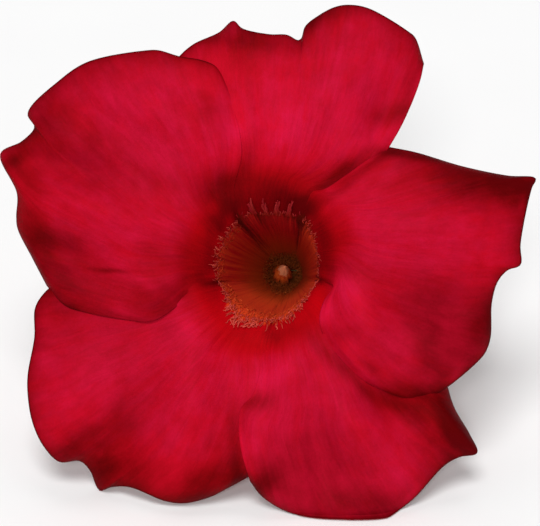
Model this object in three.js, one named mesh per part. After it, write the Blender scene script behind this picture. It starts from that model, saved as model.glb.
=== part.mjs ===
// A single red mandevilla flower, as picked, lying on its side.
//
// Five overlapping petals run down into a narrow tube, with the stamens and the pistil inside it,
// the calyx round its foot and a short cut stalk below. The flower rests on the edges of its two
// lower petals and on the cut end of its stalk, so its face looks forward and up.
//
// Sizes are millimetres. Every piece is drawn in the flower's own frame: x to the right and y up
// across the face, w out of the mouth towards whoever looks at it, zero at the mouth's centre.
// The last step turns that frame onto the surface that the flower lies on, +Z up.

import * as THREE from 'three';
import { mergeVertices } from 'three/addons/utils/BufferGeometryUtils.js';

// ---- driving dimensions ----------------------------------------------------------------------

const FACE_ELEVATION = 30.1;      // degrees that the face looks up from level, as the flower lies

const PETAL_THICKNESS = 0.45;
const SEAM_GAP = 0.32;            // between two neighbouring walls, all the way down the throat
const LEVEL_STEP = 1.1;           // from one petal to the petal that lies over it

const RING_RADIUS = 8.6;          // where the wall of the throat turns out into the petals
const RING_DEPTH = -1.35;
const WALL_FOOT = -30;            // where the petals end and the narrow tube begins
const TUBE_FOOT = -45;
const RECEPTACLE_DEPTH = -46.2;
const STALK_TOP = -47.4;
const STALK_END = -60;
const STALK_RADIUS = 1.0;
const RECEPTACLE_RADIUS = 1.9;
const RECEPTACLE_HALF_HEIGHT = 0.85;
const WHORL_COUNT = 5;            // stamens in their ring, and sepals in theirs
const FIRST_STAMEN_TURN = 90;     // degrees round the tube from x
const FIRST_SEPAL_TURN = 54;

// The tube leans a little to the right and down as it goes deeper: millimetres per millimetre.
const LEAN = new THREE.Vector2(0.098, -0.053);

// How the wall and the lobe of a petal take shape.
const WALL_CORNER = 0.06;         // how much wider the throat is at its seams than between them
const WALL_CORNER_DEPTH = 3;      // the depth below the ring by which it is that much wider
const FOLD_START = 3;             // the folds reach their full height this far outside the ring
const LIFT_START = 8.7;           // distances from the mouth's centre between which one petal
const LIFT_END = 10;              // rises over the next
const ROLL_START = 0.6;           // shares of the way out to the rim between which it curls back
const ROLL_END = 1.05;
const ROLL_BEND = 1.5;            // above 1, the curl gets tighter towards the rim

// How finely the surfaces are divided. Rows crowd together towards the mouth.
const WALL_ROWS = 7;
const WALL_CROWDING = 0.75;
const LOBE_ROWS = 12;
const LOBE_CROWDING = 1.35;
const COLUMNS = 14;
const PROFILE_SAMPLES = 160;
const TUBE_SIDES = 20;
const PISTIL_SIDES = 12;
const BLADE_SIDES = 8;
const STAMEN_STEPS = 12;
const SEPAL_STEPS = 8;
const RECEPTACLE_STEPS = 8;
const MERGE_DISTANCE = 1e-5;

// ---- colours ---------------------------------------------------------------------------------

const CRIMSON = 0xad0e29;
const TUBE_GREEN = 0xb9a55a;
const ANTHER = 0xb0683c;
const PISTIL = 0xc9c98a;
const CALYX = 0x6d7a35;
const STALK = 0x74853a;

const finish = (color, roughness) => new THREE.MeshStandardMaterial({ color, roughness, metalness: 0 });

// ---- the shape of the face -------------------------------------------------------------------

const smooth = (low, high, x) => THREE.MathUtils.smoothstep(x, low, high);

const curveOf = (points) => new THREE.CatmullRomCurve3(
  points.map(([x, y]) => new THREE.Vector3(x, y, 0)), false, 'centripetal');

// Height of a surface of revolution whose profile is a smooth curve through (radius, depth).
function profile(points) {
  const samples = curveOf(points).getSpacedPoints(PROFILE_SAMPLES);
  return (at, from, to) => {
    const i = samples.findIndex((p, k) => k > 0 && (p[from] - at) * (samples[0][from] - at) <= 0);
    if (i < 0) return samples[samples.length - 1][to];
    const [a, b] = [samples[i - 1], samples[i]];
    const share = a[from] === b[from] ? 0 : (at - a[from]) / (b[from] - a[from]);
    return a[to] + (b[to] - a[to]) * THREE.MathUtils.clamp(share, 0, 1);
  };
}

// The flare of the petals: they rise out of the mouth, run nearly flat, then fall to the rim.
const flare = profile([
  [8.6, -1.35], [9.5, -0.5], [12, 0.9], [16, 1.6], [22, 1.8], [28, 1.2], [34, 0], [42, -2.6]]);
const flareHeight = (radius) => flare(Math.max(radius, RING_RADIUS), 'x', 'y');

// The wall of the throat, from the ring down to the narrow tube.
const throat = profile([
  [8.6, -1.35], [7.95, -2.6], [7.45, -4.5], [7.0, -7], [6.3, -11], [5.3, -16], [4.5, -20],
  [3.7, -24], [3.15, -27], [2.75, -30]]);
const throatRadius = (depth) => throat(depth, 'y', 'x');

// Folds and dents of the petals: centre, direction of the long axis in degrees, half length,
// half width and height (below zero for a dent).
const FOLDS = [
  // top petal
  [2, 21, 95, 8, 6, 1.5], [14, 30, 40, 8, 4, 1.1], [17.5, 23.2, 60, 5, 3, -1.3],
  [13.5, 18.5, 45, 4, 3, 0.7],
  // right petal
  [24, 5.5, 3, 12, 4.5, 2.2], [28, -6.5, -10, 8, 3.2, -1.8], [14.5, -8.5, -60, 7, 4, 1.6],
  [26.5, -13.5, -30, 6, 2.6, 0.8],
  // lower right petal
  [14, -25, -48, 10, 3.6, 2.0], [8, -29, -80, 8, 3, -1.5], [-1.5, -26, -90, 7, 3, 0.9],
  [3, -16.5, -80, 5, 4, 0.9], [20, -20.5, 0, 8, 3, -1.2], [14, -38, 0, 9, 4, 1.2],
  // lower left petal
  [-12, -20, -95, 13, 4.6, 2.0], [-23, -28, -130, 9, 3.6, -1.8], [-30, -21, -110, 7, 3.6, 1.2],
  // left petal
  [-18, 24, 150, 8, 4, 1.4], [-8, 19, 110, 6, 3, 1.0], [-8, 12, 125, 3, 2.2, -0.8],
  [-30, 14.5, 165, 9, 3, -1.8], [-26, 8.5, 165, 12, 3.2, 1.6], [-29, 1, 170, 9, 3, -1.6],
  [-17.5, -1.5, -10, 5, 2.6, 1.1],
];

function foldHeight(x, y) {
  let height = 0;
  for (const [cx, cy, direction, halfLength, halfWidth, rise] of FOLDS) {
    const turn = THREE.MathUtils.degToRad(direction);
    const along = (x - cx) * Math.cos(turn) + (y - cy) * Math.sin(turn);
    const across = (y - cy) * Math.cos(turn) - (x - cx) * Math.sin(turn);
    height += rise * Math.exp(-((along / halfLength) ** 2) - (across / halfWidth) ** 2);
  }
  return height * smooth(RING_RADIUS, RING_RADIUS + FOLD_START, Math.hypot(x, y));
}

// ---- the petals ------------------------------------------------------------------------------

// The five seams between neighbours: direction at the ring in degrees, and the point outside the
// mouth where the two petals part and begin to overlap.
const SEAM = {
  upperRight: { angle: 53.7, parting: [6.9, 10.65] },
  upperLeft: { angle: 123.7, parting: [-5.25, 9.75] },
  left: { angle: 198.4, parting: [-10.05, -3.15] },
  bottom: { angle: 275, parting: [-0.6, -12.3] },
  lowerRight: { angle: 344, parting: [10.05, -2.7] },
};

// Each petal runs anticlockwise from one seam to the next. Its two sides are listed from the seam
// out to the rim, and its rim from the first side's end to the second's. rolls are places where
// the rim curls back: share of the way along the rim, half width of the curl, and depth.
const PETALS = [
  {
    name: 'petal_top', level: -0.4, from: SEAM.upperRight, to: SEAM.upperLeft,
    firstSide: [[10, 10.6], [13.5, 11.8], [16.5, 15], [19.2, 19.2], [20.8, 22.3], [22.8, 27.3]],
    firstCorner: [23.4, 30.1],
    rim: [[22.1, 34], [15.1, 38.4], [12, 38.9], [9.9, 38.5], [7.5, 37.2], [5.7, 35.7],
      [4.6, 33.7], [2.9, 34.4], [-3.8, 35.4], [-5.1, 36.5], [-7.2, 34.8], [-11.1, 33]],
    secondCorner: [-14.6, 29.2],
    secondSide: [[-7.5, 12.5], [-10, 17], [-13.2, 24]],
    rolls: [[0.18, 0.16, 1.6], [0.5, 0.12, 1.4], [0.72, 0.14, 3.4], [1, 0.14, 1.4]],
  },
  {
    name: 'petal_left', level: 0.4, from: SEAM.upperLeft, to: SEAM.left,
    firstSide: [[-4.95, 11.7], [-3.9, 16.1], [-4.05, 19.2], [-4.95, 23]],
    firstCorner: [-6, 26.9],
    rim: [[-7.65, 29.6], [-13.2, 31.2], [-18, 32.1], [-27.1, 30.3], [-31.9, 27], [-35.6, 23.2],
      [-35, 20.6], [-36.9, 18.4], [-40, 16.6], [-37.5, 10.7], [-37.4, 5.4], [-35.2, 1]],
    secondCorner: [-33, -3.2],
    secondSide: [[-12, -4.6], [-14.1, -6.7], [-17.4, -8.5], [-21.1, -8.3], [-27.1, -7.2],
      [-30.3, -6.1]],
    rolls: [[0.36, 0.12, 1.8], [0.66, 0.1, 2.6], [0.88, 0.12, 1.2]],
  },
  {
    name: 'petal_lower_left', level: -1, from: SEAM.left, to: SEAM.bottom,
    firstSide: [[-13, -3.2], [-18, -3], [-24, -2.3]],
    firstCorner: [-31.5, -2.6],
    rim: [[-34.6, -6], [-34.9, -10.8], [-35.9, -18], [-35.2, -23.6], [-33.6, -27.1],
      [-31.2, -29.5], [-28.1, -29.4], [-26.6, -30.8], [-25.1, -33.8], [-20.7, -33.3],
      [-15.3, -35.4], [-12.4, -35.7], [-5.7, -33.3]],
    secondCorner: [-1.2, -31],
    secondSide: [[1, -15.5], [1.8, -22], [1.2, -28]],
    rolls: [[0.28, 0.14, 1.6], [0.56, 0.1, 2.4], [0.78, 0.2, 3.3]],
  },
  {
    name: 'petal_lower_right', level: 0, from: SEAM.bottom, to: SEAM.lowerRight,
    firstSide: [[-1.2, -16], [-2.3, -19.6], [-3.9, -21.4], [-4.3, -24.5], [-3.8, -28.4]],
    firstCorner: [-2.6, -32.4],
    rim: [[-0.9, -34.6], [2.1, -36.6], [5.1, -37.6], [11.5, -38.1], [18.3, -37.6],
      [21.8, -35.1], [26.6, -30], [28.8, -28.8], [31.4, -28.2], [30.3, -25.5], [27.9, -21.3]],
    secondCorner: [26.6, -16.9],
    secondSide: [[13, -5.5], [19, -11.5], [24, -15.2]],
    rolls: [[0.68, 0.14, 2.8], [0.84, 0.12, 4], [1, 0.1, 1.4]],
  },
  {
    name: 'petal_right', level: 1, from: SEAM.lowerRight, to: SEAM.upperRight,
    firstSide: [[8.5, -5.6], [7.8, -8.3], [8.55, -11], [10.6, -13.7], [13.95, -17]],
    firstCorner: [17.2, -19],
    rim: [[21, -20.2], [24.7, -19.7], [31.6, -14.4], [33.3, -11.5], [33.6, -5.7], [34.7, -2.4],
      [37.7, -0.4], [38.3, 4.5], [40.2, 12.9], [36, 13.3], [29.2, 14.7], [22.2, 16.8]],
    secondCorner: [18.2, 17.6],
    secondSide: [[8.4, 10.9], [11.85, 12.75], [14.6, 15.2]],
    rolls: [[0.22, 0.1, 1.2], [0.38, 0.1, 2], [0.68, 0.1, 4], [0.86, 0.12, 2.2]],
  },
];

const turned = ([x, y], degrees) => {
  const turn = THREE.MathUtils.degToRad(degrees);
  return [x * Math.cos(turn) - y * Math.sin(turn), x * Math.sin(turn) + y * Math.cos(turn)];
};

// Degrees that half the seam's gap takes up at a radius.
const halfGap = (radius) => THREE.MathUtils.radToDeg(SEAM_GAP / 2 / radius);

// A side of a petal, from the ring out to the rim. way is +1 for the side where the petal begins
// and -1 for the side where it ends, so that the gap opens away from the neighbour.
function sideCurve(seam, points, corner, way) {
  const start = turned([RING_RADIUS, 0], seam.angle + way * halfGap(RING_RADIUS));
  const parting = turned(seam.parting, way * halfGap(Math.hypot(...seam.parting)));
  return curveOf([start, parting, ...points, corner]);
}

// The tube's centre line leans, so everything below the ring shifts with its depth.
function leaning(x, y, depth) {
  const drop = Math.max(0, RING_DEPTH - depth);
  return new THREE.Vector3(x + LEAN.x * drop, y + LEAN.y * drop, depth);
}

// One row of the throat's wall: a petal's share of the rounded pentagon at that depth.
function wallRow(petal, depth) {
  const radius = throatRadius(depth);
  const first = petal.from.angle + halfGap(radius);
  const last = petal.to.angle - halfGap(radius) + (petal.to.angle < petal.from.angle ? 360 : 0);
  const corner = WALL_CORNER * smooth(0, WALL_CORNER_DEPTH, RING_DEPTH - depth);
  return Array.from({ length: COLUMNS + 1 }, (_, j) => {
    const share = j / COLUMNS;
    const turn = THREE.MathUtils.degToRad(THREE.MathUtils.lerp(first, last, share));
    const reach = radius * (1 + corner * ((2 * share - 1) ** 2 - 0.5));
    return leaning(reach * Math.cos(turn), reach * Math.sin(turn), depth);
  });
}

// How far the rim has curled back at a point of the lobe.
function rollDepth(petal, out, share) {
  let deepest = 0;
  for (const [at, halfWidth, depth] of petal.rolls) {
    deepest += depth * Math.exp(-(((share - at) / halfWidth) ** 2));
  }
  return deepest * smooth(ROLL_START, ROLL_END, out) ** ROLL_BEND;
}

// The lobe: a patch stretched between the ring, the two sides and the rim.
function lobeRows(petal) {
  const first = sideCurve(petal.from, petal.firstSide, petal.firstCorner, 1);
  const second = sideCurve(petal.to, petal.secondSide, petal.secondCorner, -1);
  const rim = curveOf([petal.firstCorner, ...petal.rim, petal.secondCorner]);
  const begin = petal.from.angle + halfGap(RING_RADIUS);
  const end = petal.to.angle - halfGap(RING_RADIUS) + (petal.to.angle < petal.from.angle ? 360 : 0);
  const ringPoint = (share) => new THREE.Vector3(...turned([RING_RADIUS, 0],
    THREE.MathUtils.lerp(begin, end, share)), 0);
  const rows = [];
  for (let i = 1; i <= LOBE_ROWS; i += 1) {
    const out = (i / LOBE_ROWS) ** LOBE_CROWDING;
    const [left, right] = [first.getPointAt(out), second.getPointAt(out)];
    const row = [];
    for (let j = 0; j <= COLUMNS; j += 1) {
      const share = j / COLUMNS;
      const point = ringPoint(share).multiplyScalar(1 - out)
        .addScaledVector(rim.getPointAt(share), out)
        .addScaledVector(left, 1 - share).addScaledVector(right, share)
        .addScaledVector(ringPoint(0), -(1 - out) * (1 - share))
        .addScaledVector(ringPoint(1), -(1 - out) * share)
        .addScaledVector(rim.getPointAt(0), -out * (1 - share))
        .addScaledVector(rim.getPointAt(1), -out * share);
      const radius = Math.hypot(point.x, point.y);
      const lift = petal.level * LEVEL_STEP * smooth(LIFT_START, LIFT_END, radius);
      point.z = flareHeight(radius) + foldHeight(point.x, point.y) + lift
        - rollDepth(petal, out, share);
      row.push(point);
    }
    rows.push(row);
  }
  return rows;
}

// A closed sheet of even thickness round a grid of points, its front on the side of the mouth.
function sheet(rows, thickness) {
  const [height, width] = [rows.length, rows[0].length];
  const surface = new THREE.BufferGeometry().setFromPoints(rows.flat());
  const faces = [];
  for (let i = 0; i + 1 < height; i += 1) {
    for (let j = 0; j + 1 < width; j += 1) {
      const [a, b] = [i * width + j, i * width + j + 1];
      const [c, d] = [a + width, b + width];
      faces.push(a, c, d, a, d, b);
    }
  }
  surface.setIndex(faces);
  surface.computeVertexNormals();
  const normal = surface.attributes.normal;
  const shifted = (side) => rows.flat().map((point, k) => point.clone().addScaledVector(
    new THREE.Vector3().fromBufferAttribute(normal, k), side * thickness / 2));
  const count = height * width;
  const solid = new THREE.BufferGeometry().setFromPoints([...shifted(1), ...shifted(-1)]);
  const index = [...faces];
  for (let k = 0; k < faces.length; k += 3) {
    index.push(faces[k] + count, faces[k + 2] + count, faces[k + 1] + count);
  }
  const border = [];
  for (let j = 0; j < width; j += 1) border.push(j);
  for (let i = 1; i < height; i += 1) border.push(i * width + width - 1);
  for (let j = width - 2; j >= 0; j -= 1) border.push((height - 1) * width + j);
  for (let i = height - 2; i > 0; i -= 1) border.push(i * width);
  border.forEach((a, k) => {
    const b = border[(k + 1) % border.length];
    index.push(a, b, b + count, a, b + count, a + count);
  });
  solid.setIndex(index);
  return solid;
}

function petalGeometry(petal) {
  const rows = [];
  for (let i = 0; i <= WALL_ROWS; i += 1) {
    const depth = THREE.MathUtils.lerp(WALL_FOOT, RING_DEPTH, (i / WALL_ROWS) ** WALL_CROWDING);
    rows.push(wallRow(petal, depth));
  }
  return sheet([...rows, ...lobeRows(petal)], PETAL_THICKNESS);
}

// ---- tube, pistil, stamens, calyx and stalk --------------------------------------------------

// Carries a piece that was made round a straight axis onto the leaning centre line.
function onCentreLine(geometry) {
  const position = geometry.attributes.position;
  for (let k = 0; k < position.count; k += 1) {
    const [x, y, depth] = [position.getX(k), position.getY(k), position.getZ(k)];
    position.setXYZ(k, ...leaning(x, y, depth));
  }
  return geometry;
}

// A round piece turned about the tube's axis, from (radius, depth) pairs.
function turnedPiece(points, sides) {
  const geometry = new THREE.LatheGeometry(points.map(([r, w]) => new THREE.Vector2(r, w)), sides);
  geometry.rotateX(Math.PI / 2);
  return onCentreLine(geometry);
}

// A leaf-like solid along a path, as wide and as thick as the two functions say at each share of
// the way. across is the direction of its width.
function blade(path, across, halfWidth, halfThickness, steps) {
  const rings = [];
  for (let i = 0; i <= steps; i += 1) {
    const share = i / steps;
    const centre = path.getPoint(share);
    const thick = new THREE.Vector3().crossVectors(path.getTangent(share), across).normalize();
    rings.push(Array.from({ length: BLADE_SIDES }, (_, k) => {
      const turn = 2 * Math.PI * k / BLADE_SIDES;
      return centre.clone().addScaledVector(across, halfWidth(share) * Math.cos(turn))
        .addScaledVector(thick, halfThickness(share) * Math.sin(turn));
    }));
  }
  const solid = new THREE.BufferGeometry().setFromPoints(rings.flat());
  const index = [];
  for (let i = 0; i < steps; i += 1) {
    for (let k = 0; k < BLADE_SIDES; k += 1) {
      const next = (k + 1) % BLADE_SIDES;
      const [a, b] = [i * BLADE_SIDES + k, i * BLADE_SIDES + next];
      index.push(a, b, b + BLADE_SIDES, a, b + BLADE_SIDES, a + BLADE_SIDES);
    }
  }
  const last = steps * BLADE_SIDES;
  for (let k = 1; k + 1 < BLADE_SIDES; k += 1) {
    index.push(0, k + 1, k);
    index.push(last, last + k, last + k + 1);
  }
  solid.setIndex(index);
  return solid;
}

// A point at a radius, a direction round the tube in degrees, and a depth.
const around = (radius, degrees, depth) => new THREE.Vector3(...turned([radius, 0], degrees), depth);

// The narrow tube's wall, down its inside and up its outside.
const TUBE_TOP = WALL_FOOT - SEAM_GAP;
const TUBE_PROFILE = [
  [2.9, TUBE_TOP], [2.5, TUBE_TOP], [2.05, -36], [1.75, -42], [1.5, TUBE_FOOT],
  [1.9, TUBE_FOOT], [2.2, -42], [2.45, -36], [2.9, TUBE_TOP]];

// Ovary, style and head, from the foot up.
const PISTIL_PROFILE = [
  [0, -44.9], [0.75, -44.9], [1.15, -43.8], [1.1, -42.2], [0.7, -40.8], [0.32, -40], [0.3, -30.2],
  [0.75, -29.4], [0.8, -28.6], [0.55, -27.6], [0, -27.2]];

// A slender filament rises beside the pistil and widens into the anther; the five lean together.
function stamenGeometry(degrees) {
  const path = new THREE.CatmullRomCurve3([
    around(1.35, degrees, -35.5), around(1.45, degrees, -32.5), around(1.85, degrees, -30),
    around(1.62, degrees, -27.5), around(0.72, degrees, -23.4)]);
  const across = around(1, degrees + 90, 0);
  const anther = (share) => smooth(0.35, 0.55, share);
  const width = (share) => 0.22 + 0.36 * anther(share) - 0.42 * smooth(0.72, 1, share);
  const thickness = (share) => 0.18 + 0.14 * anther(share) - 0.18 * smooth(0.75, 1, share);
  return onCentreLine(blade(path, across, width, thickness, STAMEN_STEPS));
}

// A sepal stands close to the tube, widest a third of the way up and pointed at its tip.
function sepalGeometry(degrees) {
  const path = new THREE.CatmullRomCurve3([
    around(2.35, degrees, -46), around(2.62, degrees, -44), around(2.95, degrees, -41),
    around(3.5, degrees, -38)]);
  const across = around(1, degrees + 90, 0);
  const width = (share) => 1.12 * (1 + 0.25 * Math.sin(Math.PI * share)) * (1 - 0.95 * share ** 2.4);
  const thickness = (share) => 0.24 - 0.12 * share;
  return onCentreLine(blade(path, across, width, thickness, SEPAL_STEPS));
}

// A flattened ball that the tube, the sepals and the stalk stand on.
const RECEPTACLE_PROFILE = Array.from({ length: RECEPTACLE_STEPS + 1 }, (_, k) => {
  const turn = Math.PI * (k / RECEPTACLE_STEPS - 0.5);
  const radius = k % RECEPTACLE_STEPS ? RECEPTACLE_RADIUS * Math.cos(turn) : 0;
  return [radius, RECEPTACLE_DEPTH + RECEPTACLE_HALF_HEIGHT * Math.sin(turn)];
});

// A round stalk with a slight bend, cut off square.
function stalkGeometry() {
  const path = new THREE.CatmullRomCurve3([
    leaning(0, 0, STALK_TOP), leaning(0.2, 0.2, -51), leaning(0.3, 0.3, -55),
    leaning(0, 0, STALK_END)]);
  const section = new THREE.Shape().absarc(0, 0, STALK_RADIUS, 0, 2 * Math.PI);
  return new THREE.ExtrudeGeometry(section, { curveSegments: 6, steps: 8, extrudePath: path });
}

// ---- the assembly ----------------------------------------------------------------------------

const flower = new THREE.Group();

function addPiece(name, geometry, material) {
  geometry.deleteAttribute('normal');
  geometry.deleteAttribute('uv');
  const mesh = new THREE.Mesh(mergeVertices(geometry, MERGE_DISTANCE), material);
  mesh.name = name;
  flower.add(mesh);
}

for (const petal of PETALS) addPiece(petal.name, petalGeometry(petal), finish(CRIMSON, 0.6));
addPiece('corolla_tube', turnedPiece(TUBE_PROFILE, TUBE_SIDES), finish(TUBE_GREEN, 0.5));
addPiece('pistil', turnedPiece(PISTIL_PROFILE, PISTIL_SIDES), finish(PISTIL, 0.5));
addPiece('receptacle', turnedPiece(RECEPTACLE_PROFILE, TUBE_SIDES), finish(CALYX, 0.5));
for (let k = 0; k < WHORL_COUNT; k += 1) {
  const turn = 360 / WHORL_COUNT * k;
  addPiece(`stamen_${k + 1}`, stamenGeometry(FIRST_STAMEN_TURN + turn), finish(ANTHER, 0.6));
  addPiece(`sepal_${k + 1}`, sepalGeometry(FIRST_SEPAL_TURN + turn), finish(CALYX, 0.5));
}
addPiece('pedicel', stalkGeometry(), finish(STALK, 0.5));

// Lay the flower down: the face's up direction leans back, then the lowest point meets z = 0 and
// the footprint is centred on the origin.
const lying = new THREE.Group();
flower.rotation.x = THREE.MathUtils.degToRad(90 - FACE_ELEVATION);
lying.add(flower);
lying.updateMatrixWorld(true);
const box = new THREE.Box3().setFromObject(lying, true);
const middle = box.getCenter(new THREE.Vector3());
flower.position.set(-middle.x, -middle.y, -box.min.z);

export default lying;
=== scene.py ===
"""A red mandevilla flower, as picked and laid on its side: the visible surface of every piece, and its studio.

Lengths in the classes are millimetres in the flower's own frame: x to the right and y up across the face, w out
of the mouth, zero at the mouth's centre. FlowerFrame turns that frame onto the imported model, in metres.
"""

import logging
import math
from dataclasses import dataclass
from enum import Enum

import bpy
import numpy as np
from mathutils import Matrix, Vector


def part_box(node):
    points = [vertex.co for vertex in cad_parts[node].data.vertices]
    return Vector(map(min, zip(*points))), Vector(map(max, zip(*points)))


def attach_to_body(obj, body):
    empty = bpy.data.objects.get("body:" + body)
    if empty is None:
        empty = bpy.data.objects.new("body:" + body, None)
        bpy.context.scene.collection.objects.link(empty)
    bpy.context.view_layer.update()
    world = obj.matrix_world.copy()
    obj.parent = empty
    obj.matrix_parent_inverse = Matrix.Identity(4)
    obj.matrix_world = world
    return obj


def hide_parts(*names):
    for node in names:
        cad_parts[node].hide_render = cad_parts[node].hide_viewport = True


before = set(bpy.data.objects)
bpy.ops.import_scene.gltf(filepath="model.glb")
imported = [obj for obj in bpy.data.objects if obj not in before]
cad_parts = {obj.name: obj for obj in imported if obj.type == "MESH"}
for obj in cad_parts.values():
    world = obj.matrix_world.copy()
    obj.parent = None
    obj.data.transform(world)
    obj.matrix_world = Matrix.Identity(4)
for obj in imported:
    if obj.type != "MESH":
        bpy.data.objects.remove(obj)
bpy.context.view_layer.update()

log = logging.getLogger("mandevilla")

MM = 0.001
BODY = "root"

RGB = tuple[float, float, float]
Triple = tuple[float, float, float]
Points = tuple[tuple[float, float], ...]


# ---- curves, noise and the flower's frame ------------------------------------------------------------------


def smooth_path(points: Points, shares: np.ndarray) -> np.ndarray:
    """Follows a smooth curve through points.

    Args:
        points: places that the curve passes through, in order.
        shares: shares of the curve's length, from 0 at its start to 1 at its end.

    Returns:
        One place for each share, as rows.
    """
    given = np.array(points, float)
    ends = np.vstack([2 * given[0] - given[1], given, 2 * given[-1] - given[-2]])
    steps = np.linspace(0, 1, 24, endpoint=False)[:, None]
    traced = []
    for a, b, c, d in zip(ends, ends[1:], ends[2:], ends[3:]):
        gaps = [max(float(np.linalg.norm(q - p)) ** 0.5, 1e-4) for p, q in ((a, b), (b, c), (c, d))]
        slope_b = (b - a) / gaps[0] - (c - a) / (gaps[0] + gaps[1]) + (c - b) / gaps[1]
        slope_c = (c - b) / gaps[1] - (d - b) / (gaps[1] + gaps[2]) + (d - c) / gaps[2]
        slope_b, slope_c = slope_b * gaps[1], slope_c * gaps[1]
        bend = 2 * b - 2 * c + slope_b + slope_c
        ease = 3 * c - 3 * b - 2 * slope_b - slope_c
        traced.append(((bend * steps + ease) * steps + slope_b) * steps + b)
    traced = np.vstack([*traced, given[-1:]])
    length = np.concatenate([[0], np.cumsum(np.linalg.norm(np.diff(traced, axis=0), axis=1))])
    at = np.asarray(shares, float) * length[-1]
    return np.stack([np.interp(at, length, traced[:, k]) for k in range(traced.shape[1])], axis=-1)


def smooth_step(low: float, high: float, value: np.ndarray) -> np.ndarray:
    """Rises gently from 0 at low to 1 at high."""
    share = np.clip((value - low) / (high - low), 0, 1)
    return share * share * (3 - 2 * share)


def hill(value: np.ndarray, middle: float, half_width: float) -> np.ndarray:
    """A soft hump of height 1 round middle."""
    return np.exp(-(((value - middle) / half_width) ** 2))


class GentleNoise:
    """Smooth random hills and dips between -1 and 1 over a plane, the same on every run."""

    CELLS = 64

    def __init__(self, seed: int) -> None:
        """Draws the lattice that the noise is stretched over.

        Args:
            seed: chooses one pattern.
        """
        self.lattice = np.random.default_rng(seed).uniform(-1, 1, (self.CELLS, self.CELLS))

    def __call__(self, u: np.ndarray, v: np.ndarray) -> np.ndarray:
        """Reads the pattern, whose hills are one unit apart.

        Args:
            u: the places' first coordinate.
            v: the places' second coordinate.

        Returns:
            Its value at each place, from -1 to 1.
        """
        i, j = np.floor(u).astype(int), np.floor(v).astype(int)
        a, b = u - i, v - j
        a, b = a * a * (3 - 2 * a), b * b * (3 - 2 * b)
        i0, i1 = i % self.CELLS, (i + 1) % self.CELLS
        j0, j1 = j % self.CELLS, (j + 1) % self.CELLS
        low = self.lattice[i0, j0] * (1 - a) + self.lattice[i1, j0] * a
        high = self.lattice[i0, j1] * (1 - a) + self.lattice[i1, j1] * a
        return low * (1 - b) + high * b


@dataclass(frozen=True)
class FlowerFrame:
    """The flower's own frame, and how it lies on the surface."""

    face_elevation: float = 30.1
    lean: tuple[float, float] = (0.098, -0.053)
    ring_radius: float = 8.6
    ring_depth: float = -1.35
    receptacle_depth: float = -46.2

    def turn(self) -> np.ndarray:
        """The rotation from the flower's frame to the model's."""
        up = math.radians(self.face_elevation)
        return np.array([[1, 0, 0], [0, math.sin(up), -math.cos(up)], [0, math.cos(up), math.sin(up)]])

    def centre_line(self, depth: np.ndarray) -> np.ndarray:
        """How far the tube's centre has shifted across the face at a depth, as (x, y) rows."""
        drop = np.maximum(0, self.ring_depth - np.asarray(depth, float))
        return np.stack([self.lean[0] * drop, self.lean[1] * drop], axis=-1)

    def mouth(self) -> np.ndarray:
        """Finds the mouth's centre from where the receptacle lies.

        Returns:
            The place in the model, in metres.
        """
        low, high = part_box("receptacle")
        middle = (np.array(low) + np.array(high)) / 2
        across = self.centre_line(self.receptacle_depth)
        inside = np.array([across[0], across[1], self.receptacle_depth])
        return middle - self.turn() @ inside * MM

    def place(self, points: np.ndarray) -> np.ndarray:
        """Carries places from the flower's frame, in millimetres, into the model, in metres."""
        return np.asarray(points, float) @ self.turn().T * MM + self.mouth()

    def leaning(self, points: np.ndarray) -> np.ndarray:
        """Carries places round a straight axis onto the tube's leaning centre line.

        Args:
            points: (x, y, depth) places, in millimetres.

        Returns:
            The moved places.
        """
        moved = np.array(points, float)
        moved[..., :2] += self.centre_line(moved[..., 2])
        return moved


FLOWER = FlowerFrame()


# ---- materials ---------------------------------------------------------------------------------------------


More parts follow.
